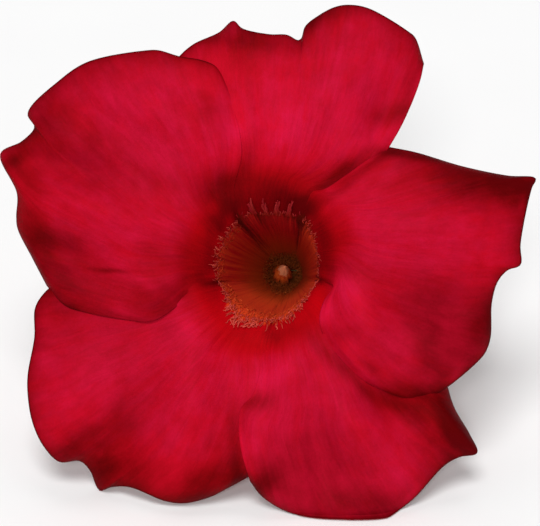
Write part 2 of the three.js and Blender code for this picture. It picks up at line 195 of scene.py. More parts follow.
class Graph:
    """Builds the nodes of one material."""

    def __init__(self, name: str) -> None:
        """Starts an empty material.

        Args:
            name: the material's name.
        """
        self.material = bpy.data.materials.new(name)
        self.material.use_nodes = True
        self.tree = self.material.node_tree
        self.tree.nodes.clear()
        self.shader = self.tree.nodes.new("ShaderNodeBsdfPrincipled")
        output = self.tree.nodes.new("ShaderNodeOutputMaterial")
        self.tree.links.new(self.shader.outputs["BSDF"], output.inputs["Surface"])

    def feed(self, socket: bpy.types.NodeSocket, value: object) -> None:
        """Links value to socket, or sets it there if it is a plain number or colour.

        Args:
            socket: the node's input.
            value: another node's output, a number or a colour.
        """
        if isinstance(value, bpy.types.NodeSocket):
            self.tree.links.new(value, socket)
        elif isinstance(value, tuple) and len(value) == 3 and len(socket.default_value) == 4:
            socket.default_value = (*value, 1.0)
        else:
            socket.default_value = value

    def attribute(self, name: str) -> bpy.types.NodeSocket:
        """The value that the mesh carries under a name.

        Args:
            name: what the value is called on the mesh.

        Returns:
            The value.
        """
        node = self.tree.nodes.new("ShaderNodeAttribute")
        node.attribute_name = name
        return node.outputs["Fac"]

    def uv(self) -> bpy.types.NodeSocket:
        """The piece's own UV map."""
        return self.tree.nodes.new("ShaderNodeTexCoord").outputs["UV"]

    def place(self) -> bpy.types.NodeSocket:
        """The place on the object, in metres."""
        return self.tree.nodes.new("ShaderNodeTexCoord").outputs["Object"]

    def stretched(self, vector: bpy.types.NodeSocket, scale: Triple,
                  shift: Triple = (0, 0, 0)) -> bpy.types.NodeSocket:
        """A pattern's coordinates, scaled and shifted.

        Args:
            vector: the coordinates.
            scale: how many times finer the pattern gets, each way.
            shift: how far it moves.

        Returns:
            The new coordinates.
        """
        node = self.tree.nodes.new("ShaderNodeMapping")
        self.feed(node.inputs["Vector"], vector)
        node.inputs["Scale"].default_value = scale
        node.inputs["Location"].default_value = shift
        return node.outputs["Vector"]

    def flower_place(self, stretch: float) -> bpy.types.NodeSocket:
        """The place on the object, turned to the flower's own frame and drawn out along the tube.

        Args:
            stretch: how many times longer a pattern gets along the tube.

        Returns:
            The coordinates.
        """
        node = self.tree.nodes.new("ShaderNodeMapping")
        node.vector_type = "TEXTURE"
        self.feed(node.inputs["Vector"], self.place())
        node.inputs["Location"].default_value = tuple(FLOWER.mouth())
        node.inputs["Rotation"].default_value = (math.radians(90 - FLOWER.face_elevation), 0, 0)
        node.inputs["Scale"].default_value = (1, 1, stretch)
        return node.outputs["Vector"]

    def noise(self, vector: bpy.types.NodeSocket, scale: float, detail: float = 2.0, rough: float = 0.5,
              twist: float = 0.0) -> bpy.types.NodeSocket:
        """Cloudy noise from 0 to 1.

        Args:
            vector: the pattern's coordinates.
            scale: how fine it is.
            detail: how many finer layers lie over it.
            rough: how strong those layers are.
            twist: how much it swirls.

        Returns:
            The noise.
        """
        node = self.tree.nodes.new("ShaderNodeTexNoise")
        self.feed(node.inputs["Vector"], vector)
        node.inputs["Scale"].default_value = scale
        node.inputs["Detail"].default_value = detail
        node.inputs["Roughness"].default_value = rough
        node.inputs["Distortion"].default_value = twist
        return node.outputs["Fac"]

    def math(self, operation: str, first: object, second: object = 0.0,
             third: object = 0.0) -> bpy.types.NodeSocket:
        """One step of arithmetic.

        Args:
            operation: the kind of step.
            first: its first number.
            second: its second number.
            third: its third number, if it has one.

        Returns:
            The result.
        """
        node = self.tree.nodes.new("ShaderNodeMath")
        node.operation = operation
        for socket, value in zip(node.inputs, (first, second, third)):
            self.feed(socket, value)
        return node.outputs["Value"]

    def spread(self, value: object, low: object, high: object, to_low: float = 0.0,
               to_high: float = 1.0) -> bpy.types.NodeSocket:
        """Carries value smoothly from the range low to high onto to_low to to_high, and holds it there.

        Args:
            value: the number to carry.
            low: where the range starts.
            high: where the range ends, which is below low for a falling slope.
            to_low: the result at low.
            to_high: the result at high.

        Returns:
            The carried number.
        """
        node = self.tree.nodes.new("ShaderNodeMapRange")
        node.interpolation_type = "SMOOTHSTEP"
        inputs = {"Value": value, "From Min": low, "From Max": high, "To Min": to_low, "To Max": to_high}
        for name, given in inputs.items():
            self.feed(node.inputs[name], given)
        return node.outputs["Result"]

    def distance(self, vector: bpy.types.NodeSocket, point: Triple) -> bpy.types.NodeSocket:
        """How far each place is from a point.

        Args:
            vector: the places.
            point: the point, in metres.

        Returns:
            The distance.
        """
        node = self.tree.nodes.new("ShaderNodeVectorMath")
        node.operation = "DISTANCE"
        self.feed(node.inputs[0], vector)
        node.inputs[1].default_value = point
        return node.outputs["Value"]

    def mix(self, share: object, first: object, second: object) -> bpy.types.NodeSocket:
        """Two colours mixed.

        Args:
            share: how much of the second colour there is, from 0 to 1.
            first: a colour.
            second: a colour.

        Returns:
            The mixed colour.
        """
        node = self.tree.nodes.new("ShaderNodeMix")
        node.data_type = "RGBA"
        node.clamp_factor = True
        self.feed(node.inputs[0], share)
        self.feed(node.inputs[6], first)
        self.feed(node.inputs[7], second)
        return node.outputs[2]

    def ramp(self, value: object, stops: tuple[tuple[float, RGB], ...]) -> bpy.types.NodeSocket:
        """A colour that changes smoothly along value.

        Args:
            value: a number from 0 to 1.
            stops: the colours, each with the number where it stands.

        Returns:
            The colour.
        """
        node = self.tree.nodes.new("ShaderNodeValToRGB")
        node.color_ramp.interpolation = "B_SPLINE"
        elements = node.color_ramp.elements
        while len(elements) < len(stops):
            elements.new(0.5)
        for element, (at, colour) in zip(elements, stops):
            element.position = at
            element.color = (*colour, 1.0)
        self.feed(node.inputs["Fac"], value)
        return node.outputs["Color"]

    def bump(self, height: object, distance: float, strength: float = 1.0) -> None:
        """Raises the surface's shading by a height pattern.

        Args:
            height: the pattern.
            distance: how high it is, in metres.
            strength: how much of it shows.
        """
        node = self.tree.nodes.new("ShaderNodeBump")
        node.inputs["Strength"].default_value = strength
        node.inputs["Distance"].default_value = distance
        self.feed(node.inputs["Height"], height)
        self.tree.links.new(node.outputs["Normal"], self.shader.inputs["Normal"])

    def finish(self, colour: object, roughness: object, specular: float = 0.2, sheen: float = 0.0,
               sheen_tint: RGB = (1, 1, 1)) -> bpy.types.Material:
        """Connects the surface's values.

        Args:
            colour: the base colour.
            roughness: from 0 for a mirror to 1 for chalk.
            specular: how strong the gloss is.
            sheen: how strong the velvet sheen is.
            sheen_tint: the sheen's colour.

        Returns:
            The material.
        """
        self.feed(self.shader.inputs["Base Color"], colour)
        self.feed(self.shader.inputs["Roughness"], roughness)
        self.shader.inputs["Specular IOR Level"].default_value = specular
        self.shader.inputs["Sheen Weight"].default_value = sheen
        self.shader.inputs["Sheen Roughness"].default_value = 0.5
        self.shader.inputs["Sheen Tint"].default_value = (*sheen_tint, 1.0)
        return self.material


@dataclass(frozen=True)
class PetalFinish:
    """Velvety crimson petals with fine veins, a feathered orange throat and a paler back.

    The mesh carries along, the millimetres from the ring towards the rim and below zero down the throat;
    tone, from 0 for the darkest painted shade, in folds, to 1 for the brightest painted
    highlight, on swellings; edge, where the orange ends along the petal; warmth, from 0 on a dark red throat wall
    to 1 on an orange one; pinkness, above 0 where the face is pinker and below 0 where it is a purer red; and
    back,
    1 on the back.
    """

    # deep and deep_pink are painted shade, painted_shadow_red painted shadow, bright_red and bright_pink painted
    # highlights
    painted_shadow_red: RGB = (0.065, 0.0003, 0.0008)
    deep: RGB = (0.24, 0.0006, 0.0027)
    red: RGB = (0.49, 0.0024, 0.0145)
    deep_pink: RGB = (0.24, 0.0014, 0.0070)
    pink: RGB = (0.49, 0.0042, 0.0265)
    bright_red: RGB = (0.76, 0.0048, 0.0370)
    bright_pink: RGB = (0.74, 0.0100, 0.0820)
    glow: RGB = (0.58, 0.0010, 0.0050)
    wall_red: RGB = (0.40, 0.0060, 0.0085)
    wall_orange: RGB = (0.61, 0.049, 0.0115)
    wall_foot: RGB = (0.42, 0.055, 0.006)
    painted_shade_wall: RGB = (0.08, 0.0030, 0.0012)
    back_red: RGB = (0.30, 0.012, 0.028)
    back_pink: RGB = (0.50, 0.11, 0.10)
    back_green: RGB = (0.42, 0.40, 0.12)
    streak_stretch: Triple = (15, 5, 1)
    wall_streak_stretch: Triple = (15, 1.4, 1)
    vein_stretch: Triple = (44, 8, 1)
    thread_stretch: Triple = (120, 36, 1)
    tooth_stretch: Triple = (24, 3.0, 1)
    tooth_length: float = 4.6
    mottle_scale: float = 190
    cloud_scale: float = 330
    grain_scale: float = 2600
    vein_height: float = 0.00012

    def lobe(self, graph: Graph, shade: bpy.types.NodeSocket) -> bpy.types.NodeSocket:
        """The crimson of the open face with painted light and shade, pinker in places, and pure red close to the
        throat.

        Args:
            graph: the material being built.
            shade: the painted light and shade, from 0 to 1.

        Returns:
            The colour.
        """
        drawn_out = graph.stretched(graph.uv(), self.streak_stretch, (1.7, 0.4, 0))
        streak = graph.noise(drawn_out, 1.0, 4.0, 0.62, 0.4)
        cloud = graph.noise(graph.place(), self.mottle_scale, 6.0, 0.78)
        mottle = graph.math("MULTIPLY_ADD", cloud, 0.5, graph.math("MULTIPLY", streak, 0.5))
        pinker = graph.math("ADD", graph.spread(mottle, 0.34, 0.66), graph.attribute("pinkness"))
        # both ramps and the pure red turn shade into painted shadow, painted shade, own colour and painted
        # highlight
        red, pink = (graph.ramp(shade, ((0.0, self.painted_shadow_red), (0.30, fold), (0.62, half), (1.0, full)))
                     for fold, half, full in ((self.deep, self.red, self.bright_red),
                                              (self.deep_pink, self.pink, self.bright_pink)))
        pure = graph.ramp(shade, ((0.0, self.painted_shadow_red), (0.35, self.deep), (0.8, self.glow), (1.0, self.glow)))
        reach = graph.math("MULTIPLY_ADD", graph.attribute("pinkness"), 3.0, graph.attribute("along"))
        return graph.mix(graph.spread(reach, 6.5, 1.5), graph.mix(pinker, red, pink), pure)

    def wall(self, graph: Graph, shade: bpy.types.NodeSocket) -> bpy.types.NodeSocket:
        """The streaky throat wall: orange or dark red, browner at its foot, painted nearly black in the creases'
        shade.

        Args:
            graph: the material being built.
            shade: the painted light and shade, from 0 to 1.

        Returns:
            The colour.
        """
        along = graph.attribute("along")
        drawn_out = graph.stretched(graph.uv(), self.wall_streak_stretch, (5.3, 0, 0))
        streak = graph.noise(drawn_out, 1.0, 4.0, 0.7, 0.4)
        streak = graph.math("SUBTRACT", streak, 0.5)
        warm = graph.mix(graph.math("MULTIPLY_ADD", streak, 2.8, graph.attribute("warmth")), self.wall_red,
                         self.wall_orange)
        warm = graph.mix(graph.spread(along, -8, -26), warm, self.wall_foot)
        # painted shade: darker up towards the ring, and going to painted_shade_wall where it is darkest
        painted_light_level = graph.math("SUBTRACT", shade, graph.spread(along, -3, 1, 0, 0.14))
        painted_light_level = graph.math("MULTIPLY_ADD", streak, 1.6, painted_light_level)
        return graph.mix(graph.spread(painted_light_level, -0.05, 0.62), self.painted_shade_wall, warm)

    def colour(self, graph: Graph) -> tuple[bpy.types.NodeSocket, bpy.types.NodeSocket]:
        """Lays out the colours.

        Args:
            graph: the material being built.

        Returns:
            The colour, and the height of the veins and the velvet.
        """
        uv, place = graph.uv(), graph.place()
        along = graph.attribute("along")
        veins = graph.noise(graph.stretched(uv, self.vein_stretch), 1.0, 4.0, 0.62, 0.7)
        threads = graph.noise(graph.stretched(uv, self.thread_stretch, (3.7, 1.1, 0)), 1.0, 2.0, 0.6, 0.8)
        grain = graph.noise(place, self.grain_scale, 2.0, 0.7)
        cloud = graph.noise(place, self.cloud_scale, 2.0, 0.5)
        height = graph.math("MULTIPLY_ADD", threads, 0.3, veins)
        # shade starts from the painted light and shade; the veins, grain and cloud move it a little
        shade = graph.math("MULTIPLY_ADD", graph.math("SUBTRACT", height, 0.65), 0.24, graph.attribute("tone"))
        shade = graph.math("MULTIPLY_ADD", graph.math("SUBTRACT", grain, 0.5), 0.12, shade)
        shade = graph.math("MULTIPLY_ADD", graph.math("SUBTRACT", cloud, 0.5), 0.18, shade)

        teeth = graph.noise(graph.stretched(uv, self.tooth_stretch, (9.1, 0, 0)), 1.0, 3.0, 0.7)
        teeth = graph.math("SUBTRACT", teeth, 0.5)
        edge = graph.math("MULTIPLY_ADD", teeth, self.tooth_length, graph.attribute("edge"))
        inside = graph.spread(graph.math("SUBTRACT", edge, along), -0.15, 0.45)
        front = graph.mix(inside, self.lobe(graph, shade), self.wall(graph, shade))

        rear = graph.ramp(graph.spread(along, 12, -32), ((0.0, self.back_red), (0.42, self.back_pink),
                                                       (0.85, self.back_green)))
        rear = graph.mix(graph.spread(veins, 0.4, 0.7, 0, 0.4), rear, self.back_red)
        return graph.mix(graph.attribute("back"), front, rear), graph.math("MULTIPLY_ADD", grain, 0.2, height)

    def material(self) -> bpy.types.Material:
        """Makes the material.

        Returns:
            The material.
        """
        graph = Graph("petal_velvet")
        colour, height = self.colour(graph)
        graph.bump(height, self.vein_height, 0.5)
        rough = graph.spread(height, 0.4, 1.3, 0.55, 0.72)
        return graph.finish(colour, rough, specular=0.015, sheen=0.02, sheen_tint=(1.0, 0.08, 0.16))


@dataclass(frozen=True)
class TubeFinish:
    """The corolla's narrow foot: yellow-green, pink-flushed and finely ribbed, and bright orange inside, partly
    painted light.
    """

    green: RGB = (0.42, 0.40, 0.12)
    flush: RGB = (0.46, 0.16, 0.09)
    # inside: bright orange, partly painted light where little light reaches deep in the tube
    inside: RGB = (0.90, 0.17, 0.030)

    def material(self) -> bpy.types.Material:
        """Makes the material.

        Returns:
            The material.
        """
        graph = Graph("tube_skin")
        ribs = graph.noise(graph.flower_place(22.0), 1500, 3.0, 0.6)
        spots = graph.noise(graph.place(), 500, 2.0, 0.6)
        pinker = graph.math("MULTIPLY_ADD", spots, 0.3, ribs)
        colour = graph.mix(graph.spread(pinker, 0.56, 0.86, 0.0, 0.42), self.green, self.flush)
        colour = graph.mix(graph.spread(graph.attribute("along"), 0.49, 0.52), colour, self.inside)
        graph.bump(ribs, 0.0001, 0.5)
        return graph.finish(colour, graph.spread(spots, 0.3, 0.7, 0.42, 0.6), specular=0.25)


@dataclass(frozen=True)
class AntherFinish:
    """Anthers: dusty orange, red stripes, tips pale on one side (partly painted highlight), brownish filaments."""

    filament: RGB = (0.42, 0.16, 0.04)
    orange: RGB = (0.88, 0.150, 0.022)
    red: RGB = (0.62, 0.050, 0.012)
    # pollen_and_highlight and the values after it: a pale spot round one point of the tips, partly painted
    # highlight
    pollen_and_highlight: RGB = (1.0, 0.40, 0.19)
    pollen_and_highlight_at: Triple = (2.8, -0.75, -24.0)
    pollen_and_highlight_reach: float = 1.45
    pollen_and_highlight_scatter: float = 3.4
    pollen_and_highlight_edge: tuple[float, float] = (1.15, 0.75)

    def material(self) -> bpy.types.Material:
        """Makes the material.

        Returns:
            The material.
        """
        graph = Graph("anther_dust")
        dust = graph.noise(graph.place(), 2400, 4.0, 0.7)
        grains = graph.math("SUBTRACT", graph.noise(graph.place(), 1500, 5.0, 0.75), 0.5)
        colour = graph.mix(graph.spread(graph.attribute("along"), 0.3, 0.5), self.filament, self.orange)
        stripes = graph.noise(graph.flower_place(8.0), 1500, 3.0, 0.7)
        colour = graph.mix(graph.spread(stripes, 0.5, 0.6, 0.0, 0.8), colour, self.red)
        reach = graph.distance(graph.place(), tuple(FLOWER.place(self.pollen_and_highlight_at)))
        reach = graph.math("MULTIPLY_ADD", grains, -self.pollen_and_highlight_scatter * self.pollen_and_highlight_reach * MM, reach)
        outer, inner = (share * self.pollen_and_highlight_reach * MM for share in self.pollen_and_highlight_edge)
        colour = graph.mix(graph.spread(reach, outer, inner), colour, self.pollen_and_highlight)
        graph.bump(dust, 0.0001, 0.8)
        return graph.finish(colour, graph.spread(dust, 0.3, 0.7, 0.5, 0.75), specular=0.12)


@dataclass(frozen=True)
class SkinFinish:
    """Plant skin with a flush towards its tip, lengthwise streaks and a soft gloss.

    The mesh carries along, from 0 at its foot to 1 at its tip, and cut, which is 1 on a cut end.
    """

    name: str
    skin: RGB
    flush: RGB
    flush_share: float = 0.5
    gloss: float = 0.3
    pith: RGB = (0.62, 0.62, 0.36)

    def material(self) -> bpy.types.Material:
        """Makes the material.

        Returns:
            The material.
        """
        graph = Graph(self.name)
        streak = graph.noise(graph.flower_place(9.0), 1700, 3.0, 0.6)
        spots = graph.noise(graph.place(), 1500, 3.0, 0.6)
        mixed = graph.math("ADD", graph.math("MULTIPLY", streak, 0.6), graph.math("MULTIPLY", spots, 0.4))
        colour = graph.mix(graph.spread(mixed, 0.42, 0.62, 0.0, self.flush_share), self.skin, self.flush)
        tip = graph.spread(graph.attribute("along"), 0.55, 1.0, 0.0, self.flush_share)
        colour = graph.mix(tip, colour, self.flush)
        pith = graph.mix(graph.spread(spots, 0.35, 0.65), self.pith, self.skin)
        colour = graph.mix(graph.attribute("cut"), colour, pith)
        graph.bump(mixed, 0.00015, 0.6)
        return graph.finish(colour, graph.spread(spots, 0.3, 0.7, 0.38, 0.58), specular=self.gloss)


CALYX_FINISH = SkinFinish("calyx_skin", (0.13, 0.17, 0.035), (0.22, 0.05, 0.03), 0.6)
STALK_FINISH = SkinFinish("stalk_skin", (0.17, 0.21, 0.05), (0.20, 0.07, 0.035), 0.4)
PISTIL_FINISH = SkinFinish("pistil_skin", (0.42, 0.12, 0.02), (0.34, 0.18, 0.04), 0.4)


@dataclass(frozen=True)
class HairFinish:
    """Fine hairs in the throat: one colour at the root and another at the tip, from dusky to pale.

    The mesh carries tip_share, from 0 at a hair's root to 1 at its tip, and paleness, from 0 to 1. Low paleness,
    on the hairs of the top and side petals, is partly painted shade.
    """

    name: str = "fringe_hair"
    root: RGB = (0.60, 0.048, 0.016)
    dusky_root: RGB = (0.20, 0.004, 0.005)
    tip: RGB = (0.68, 0.088, 0.064)
    dusky_tip: RGB = (0.27, 0.006, 0.012)

    def material(self) -> bpy.types.Material:
        """Makes the material.

        Returns:
            The material.
        """
        graph = Graph(self.name)
        speck = graph.noise(graph.place(), 3000, 2.0, 0.6)
        pale = graph.attribute("paleness")
        uneven = graph.math("SUBTRACT", speck, 0.5)
        share = graph.math("MULTIPLY_ADD", uneven, 0.5, graph.attribute("tip_share"))
        root = graph.mix(pale, self.dusky_root, self.root)
        tip = graph.mix(pale, self.dusky_tip, self.tip)
        colour = graph.mix(graph.spread(share, 0.1, 0.85), root, tip)
        return graph.finish(colour, graph.spread(speck, 0.3, 0.7, 0.45, 0.65), specular=0.08)


# the down deep in the throat is dark, partly painted shade
DOWN_FINISH = HairFinish("throat_down", (0.30, 0.052, 0.009), (0.20, 0.034, 0.006), (0.34, 0.066, 0.011),
                         (0.22, 0.040, 0.007))
WALL_HAIR_FINISH = HairFinish("wall_hair", (0.62, 0.050, 0.011), (0.30, 0.016, 0.005), (0.78, 0.100, 0.026),
                              (0.42, 0.030, 0.010))


@dataclass(frozen=True)
class PaperFinish:
    """The pale, even surface that the flower lies on."""

    white: RGB = (0.93, 0.93, 0.93)
    shade: RGB = (0.90, 0.90, 0.90)

    def material(self) -> bpy.types.Material:
        """Makes the material.

        Returns:
            The material.
        """
        graph = Graph("pale_surface")
        cloud = graph.noise(graph.place(), 30, 3.0, 0.5)
        return graph.finish(graph.mix(cloud, self.white, self.shade), 0.9, specular=0.0)


# ---- meshes ------------------------------------------------------------------------------------------------


class Slot(Enum):
    """The record's material slots."""

    PETAL = "petal"
    TUBE = "tube"
    ANTHER = "anther"
    PISTIL = "pistil"
    CALYX = "calyx"
    STALK = "stalk"


def link_object(name: str, mesh: bpy.types.Mesh) -> bpy.types.Object:
    """Puts a mesh into the scene.

    Args:
        name: the object's name.
        mesh: its mesh.

    Returns:
        The object.
    """
    piece = bpy.data.objects.new(name, mesh)
    bpy.context.scene.collection.objects.link(piece)
    return piece


def make_mesh(name: str, places: np.ndarray, faces: list[tuple[int, ...]], uv: np.ndarray,
              attributes: dict[str, np.ndarray], material: bpy.types.Material) -> bpy.types.Mesh:
    """Makes a smooth-shaded mesh.

    Args:
        name: the mesh's name.
        places: one row for each vertex.
        faces: vertex numbers of each face.
        uv: one (u, v) row for each vertex.
        attributes: values that the mesh carries, one for each vertex, by name.
        material: the surface.

    Returns:
        The mesh.
    """
    mesh = bpy.data.meshes.new(name)
    mesh.from_pydata(places, [], faces)
    corner = np.empty(len(mesh.loops), int)
    mesh.loops.foreach_get("vertex_index", corner)
    mesh.uv_layers.new(name="UVMap").data.foreach_set("uv", uv[corner].astype(np.float32).ravel())
    for key, values in attributes.items():
        layer = mesh.attributes.new(key, "FLOAT", "POINT")
        layer.data.foreach_set("value", np.asarray(values, np.float32).ravel())
    mesh.polygons.foreach_set("use_smooth", [True] * len(mesh.polygons))
    mesh.materials.append(material)
    mesh.update()
    return mesh


def attach(piece: bpy.types.Object, slot: Slot, *nodes: str) -> None:
    """Rides a finished piece on the flower, in place of any CAD nodes that it stands for.

    Args:
        piece: the finished object.
        slot: the record's material slot; not used.
        nodes: the CAD nodes that it stands for.
    """
    if nodes:
        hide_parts(*nodes)
    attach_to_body(piece, BODY)
    log.info("%s: %d faces", piece.name, len(piece.data.polygons))


class Recipe:
    """A Geometry Nodes tree with named inputs, which ends in Realize Instances and Set Material."""

    def __init__(self, name: str) -> None:
        """Starts a tree with one geometry input and one geometry output.

        Args:
            name: the tree's name.
        """
        self.tree = bpy.data.node_groups.new(name, "GeometryNodeTree")
        self.tree.interface.new_socket("Geometry", in_out="OUTPUT", socket_type="NodeSocketGeometry")
        self.identifiers: dict[str, str] = {}
        self.entry = self.tree.nodes.new("NodeGroupInput")
        self.geometry = self.input("Geometry", "Geometry")

    def input(self, name: str, kind: str = "Float") -> bpy.types.NodeSocket:
        """Adds a named input.

        Args:
            name: the input's name.
            kind: what it holds, such as Float or Vector.

        Returns:
            The socket that carries it into the tree.
        """
        item = self.tree.interface.new_socket(name, in_out="INPUT", socket_type="NodeSocket" + kind)
        self.identifiers[name] = item.identifier
        return self.entry.outputs[name]

    def step(self, kind: str, inputs: dict[str | int, object], output: str | int = 0,
             **settings: str) -> bpy.types.NodeSocket:
        """Adds one node.

        Args:
            kind: the node's type.
            inputs: values or sockets for its inputs, by name or number.
            output: the output to return.
            settings: the node's own options.

        Returns:
            The output socket.
        """
        node = self.tree.nodes.new(kind)
        for key, value in settings.items():
            setattr(node, key, value)
        for key, value in inputs.items():
            if isinstance(value, bpy.types.NodeSocket):
                self.tree.links.new(value, node.inputs[key])
            else:
                node.inputs[key].default_value = value
        return node.outputs[output]

    def number(self, operation: str, first: object, second: object) -> bpy.types.NodeSocket:
        """One step of arithmetic on numbers."""
        return self.step("ShaderNodeMath", {0: first, 1: second}, operation=operation)

    def vector(self, operation: str, first: object, second: object = (0, 0, 0),
               scale: object = 1.0) -> bpy.types.NodeSocket:
        """One step of arithmetic on vectors."""
        return self.step("ShaderNodeVectorMath", {0: first, 1: second, 3: scale}, operation=operation)

    def carried(self, name: str, kind: str = "FLOAT") -> bpy.types.NodeSocket:
        """The value that the geometry carries under a name."""
        return self.step("GeometryNodeInputNamedAttribute", {"Name": name}, data_type=kind)

    def store(self, geometry: bpy.types.NodeSocket, name: str, value: object) -> bpy.types.NodeSocket:
        """Makes the geometry carry a number under a name."""
        inputs = {"Geometry": geometry, "Name": name, "Value": value}
        return self.step("GeometryNodeStoreNamedAttribute", inputs, data_type="FLOAT", domain="POINT")

    def finish(self, geometry: bpy.types.NodeSocket, finish: bpy.types.NodeSocket) -> "Recipe":
        """Ends the tree.

        Args:
            geometry: what the tree has made.
            finish: the material for it.

        Returns:
            The finished recipe.
        """
        smooth = self.step("GeometryNodeSetShadeSmooth", {"Geometry": geometry})
        real = self.step("GeometryNodeRealizeInstances", {"Geometry": smooth})
        dressed = self.step("GeometryNodeSetMaterial", {"Geometry": real, "Material": finish})
        way_out = self.tree.nodes.new("NodeGroupOutput")
        self.tree.links.new(dressed, way_out.inputs["Geometry"])
        return self

    def bake(self, host: bpy.types.Object, values: dict[str, object]) -> bpy.types.Object:
        """Runs the tree on an object and keeps the result as the object's own plain mesh.

        Args:
            host: the object that the tree starts from.
            values: the tree's inputs, by name.

        Returns:
            The same object, with the modifier gone and the new mesh.
        """
        modifier = host.modifiers.new(self.tree.name, "NODES")
        modifier.node_group = self.tree
        for name, value in values.items():
            modifier[self.identifiers[name]] = value
        graph = bpy.context.evaluated_depsgraph_get()
        mesh = bpy.data.meshes.new_from_object(host.evaluated_get(graph), depsgraph=graph)
        host.modifiers.clear()
        host.data = mesh
        return host


def normals_of(grid: np.ndarray) -> np.ndarray:
    """Unit normals of a grid of points whose rows run outwards and whose columns run anticlockwise."""
    across = np.cross(np.gradient(grid, axis=0), np.gradient(grid, axis=1))
    return across / np.maximum(np.linalg.norm(across, axis=-1, keepdims=True), 1e-9)


def shell_faces(height: int, width: int) -> list[tuple[int, ...]]:
    """Faces of a closed sheet made from two grids of points, the front one first.

    Args:
        height: rows of the grid.
        width: columns of the grid.

    Returns:
        The faces, pointing out of the sheet.
    """
    a = (np.arange(height - 1)[:, None] * width + np.arange(width - 1)[None, :]).ravel()
    front = np.stack([a, a + width, a + width + 1, a + 1], axis=1)
    back = front[:, ::-1] + height * width
    right = np.arange(1, height) * width + width - 1
    left = np.arange(height - 2, 0, -1) * width
    top = np.arange(height * width - 2, (height - 1) * width - 1, -1)
    border = np.concatenate([np.arange(width), right, top, left])
    after = np.roll(border, -1)
    rim = np.stack([border, after, after + height * width, border + height * width], axis=1)
    return [tuple(face) for face in np.vstack([front, back, rim]).tolist()]


# ---- the petals --------------------------------------------------------------------------------------------


@dataclass(frozen=True)
class Patch:
    """A long soft spot on the face: a fold or dent, painted shade or highlight, or a pinker place."""

    x: float
    y: float
    direction: float
    half_length: float
    half_width: float
    amount: float

    def at(self, x: np.ndarray, y: np.ndarray) -> np.ndarray:
        """Reads the patch at places on the face.

        Args:
            x: places across the face.
            y: places up the face.

        Returns:
            The amount at each place.
        """
        turn = math.radians(self.direction)
        along = (x - self.x) * math.cos(turn) + (y - self.y) * math.sin(turn)
        across = (y - self.y) * math.cos(turn) - (x - self.x) * math.sin(turn)
        return self.amount * np.exp(-((along / self.half_length) ** 2) - (across / self.half_width) ** 2)


@dataclass(frozen=True)
class Seam:
    """A seam between neighbouring petals.

    It has a direction at the ring, the place where the two part, its crease's length, and the distances from the
    mouth's centre between which one rises over the other.
    """

    angle: float
    parting: tuple[float, float]
    crease: float
    rise: tuple[float, float] = (9.5, 15.0)


@dataclass(frozen=True)
class Curl:
    """A stretch of rim that curls back: share of the way along, half width, band and angle in degrees."""

    at: float
    half_width: float
    band: float
    angle: float


UPPER_RIGHT = Seam(53.7, (6.9, 10.65), 30)
UPPER_LEFT = Seam(123.7, (-5.25, 9.75), 36)
LEFT = Seam(198.4, (-10.05, -3.15), 11)
BOTTOM = Seam(275.0, (-0.6, -12.3), 7)
LOWER_RIGHT = Seam(344.0, (10.05, -2.7), 9, (8.8, 10.6))


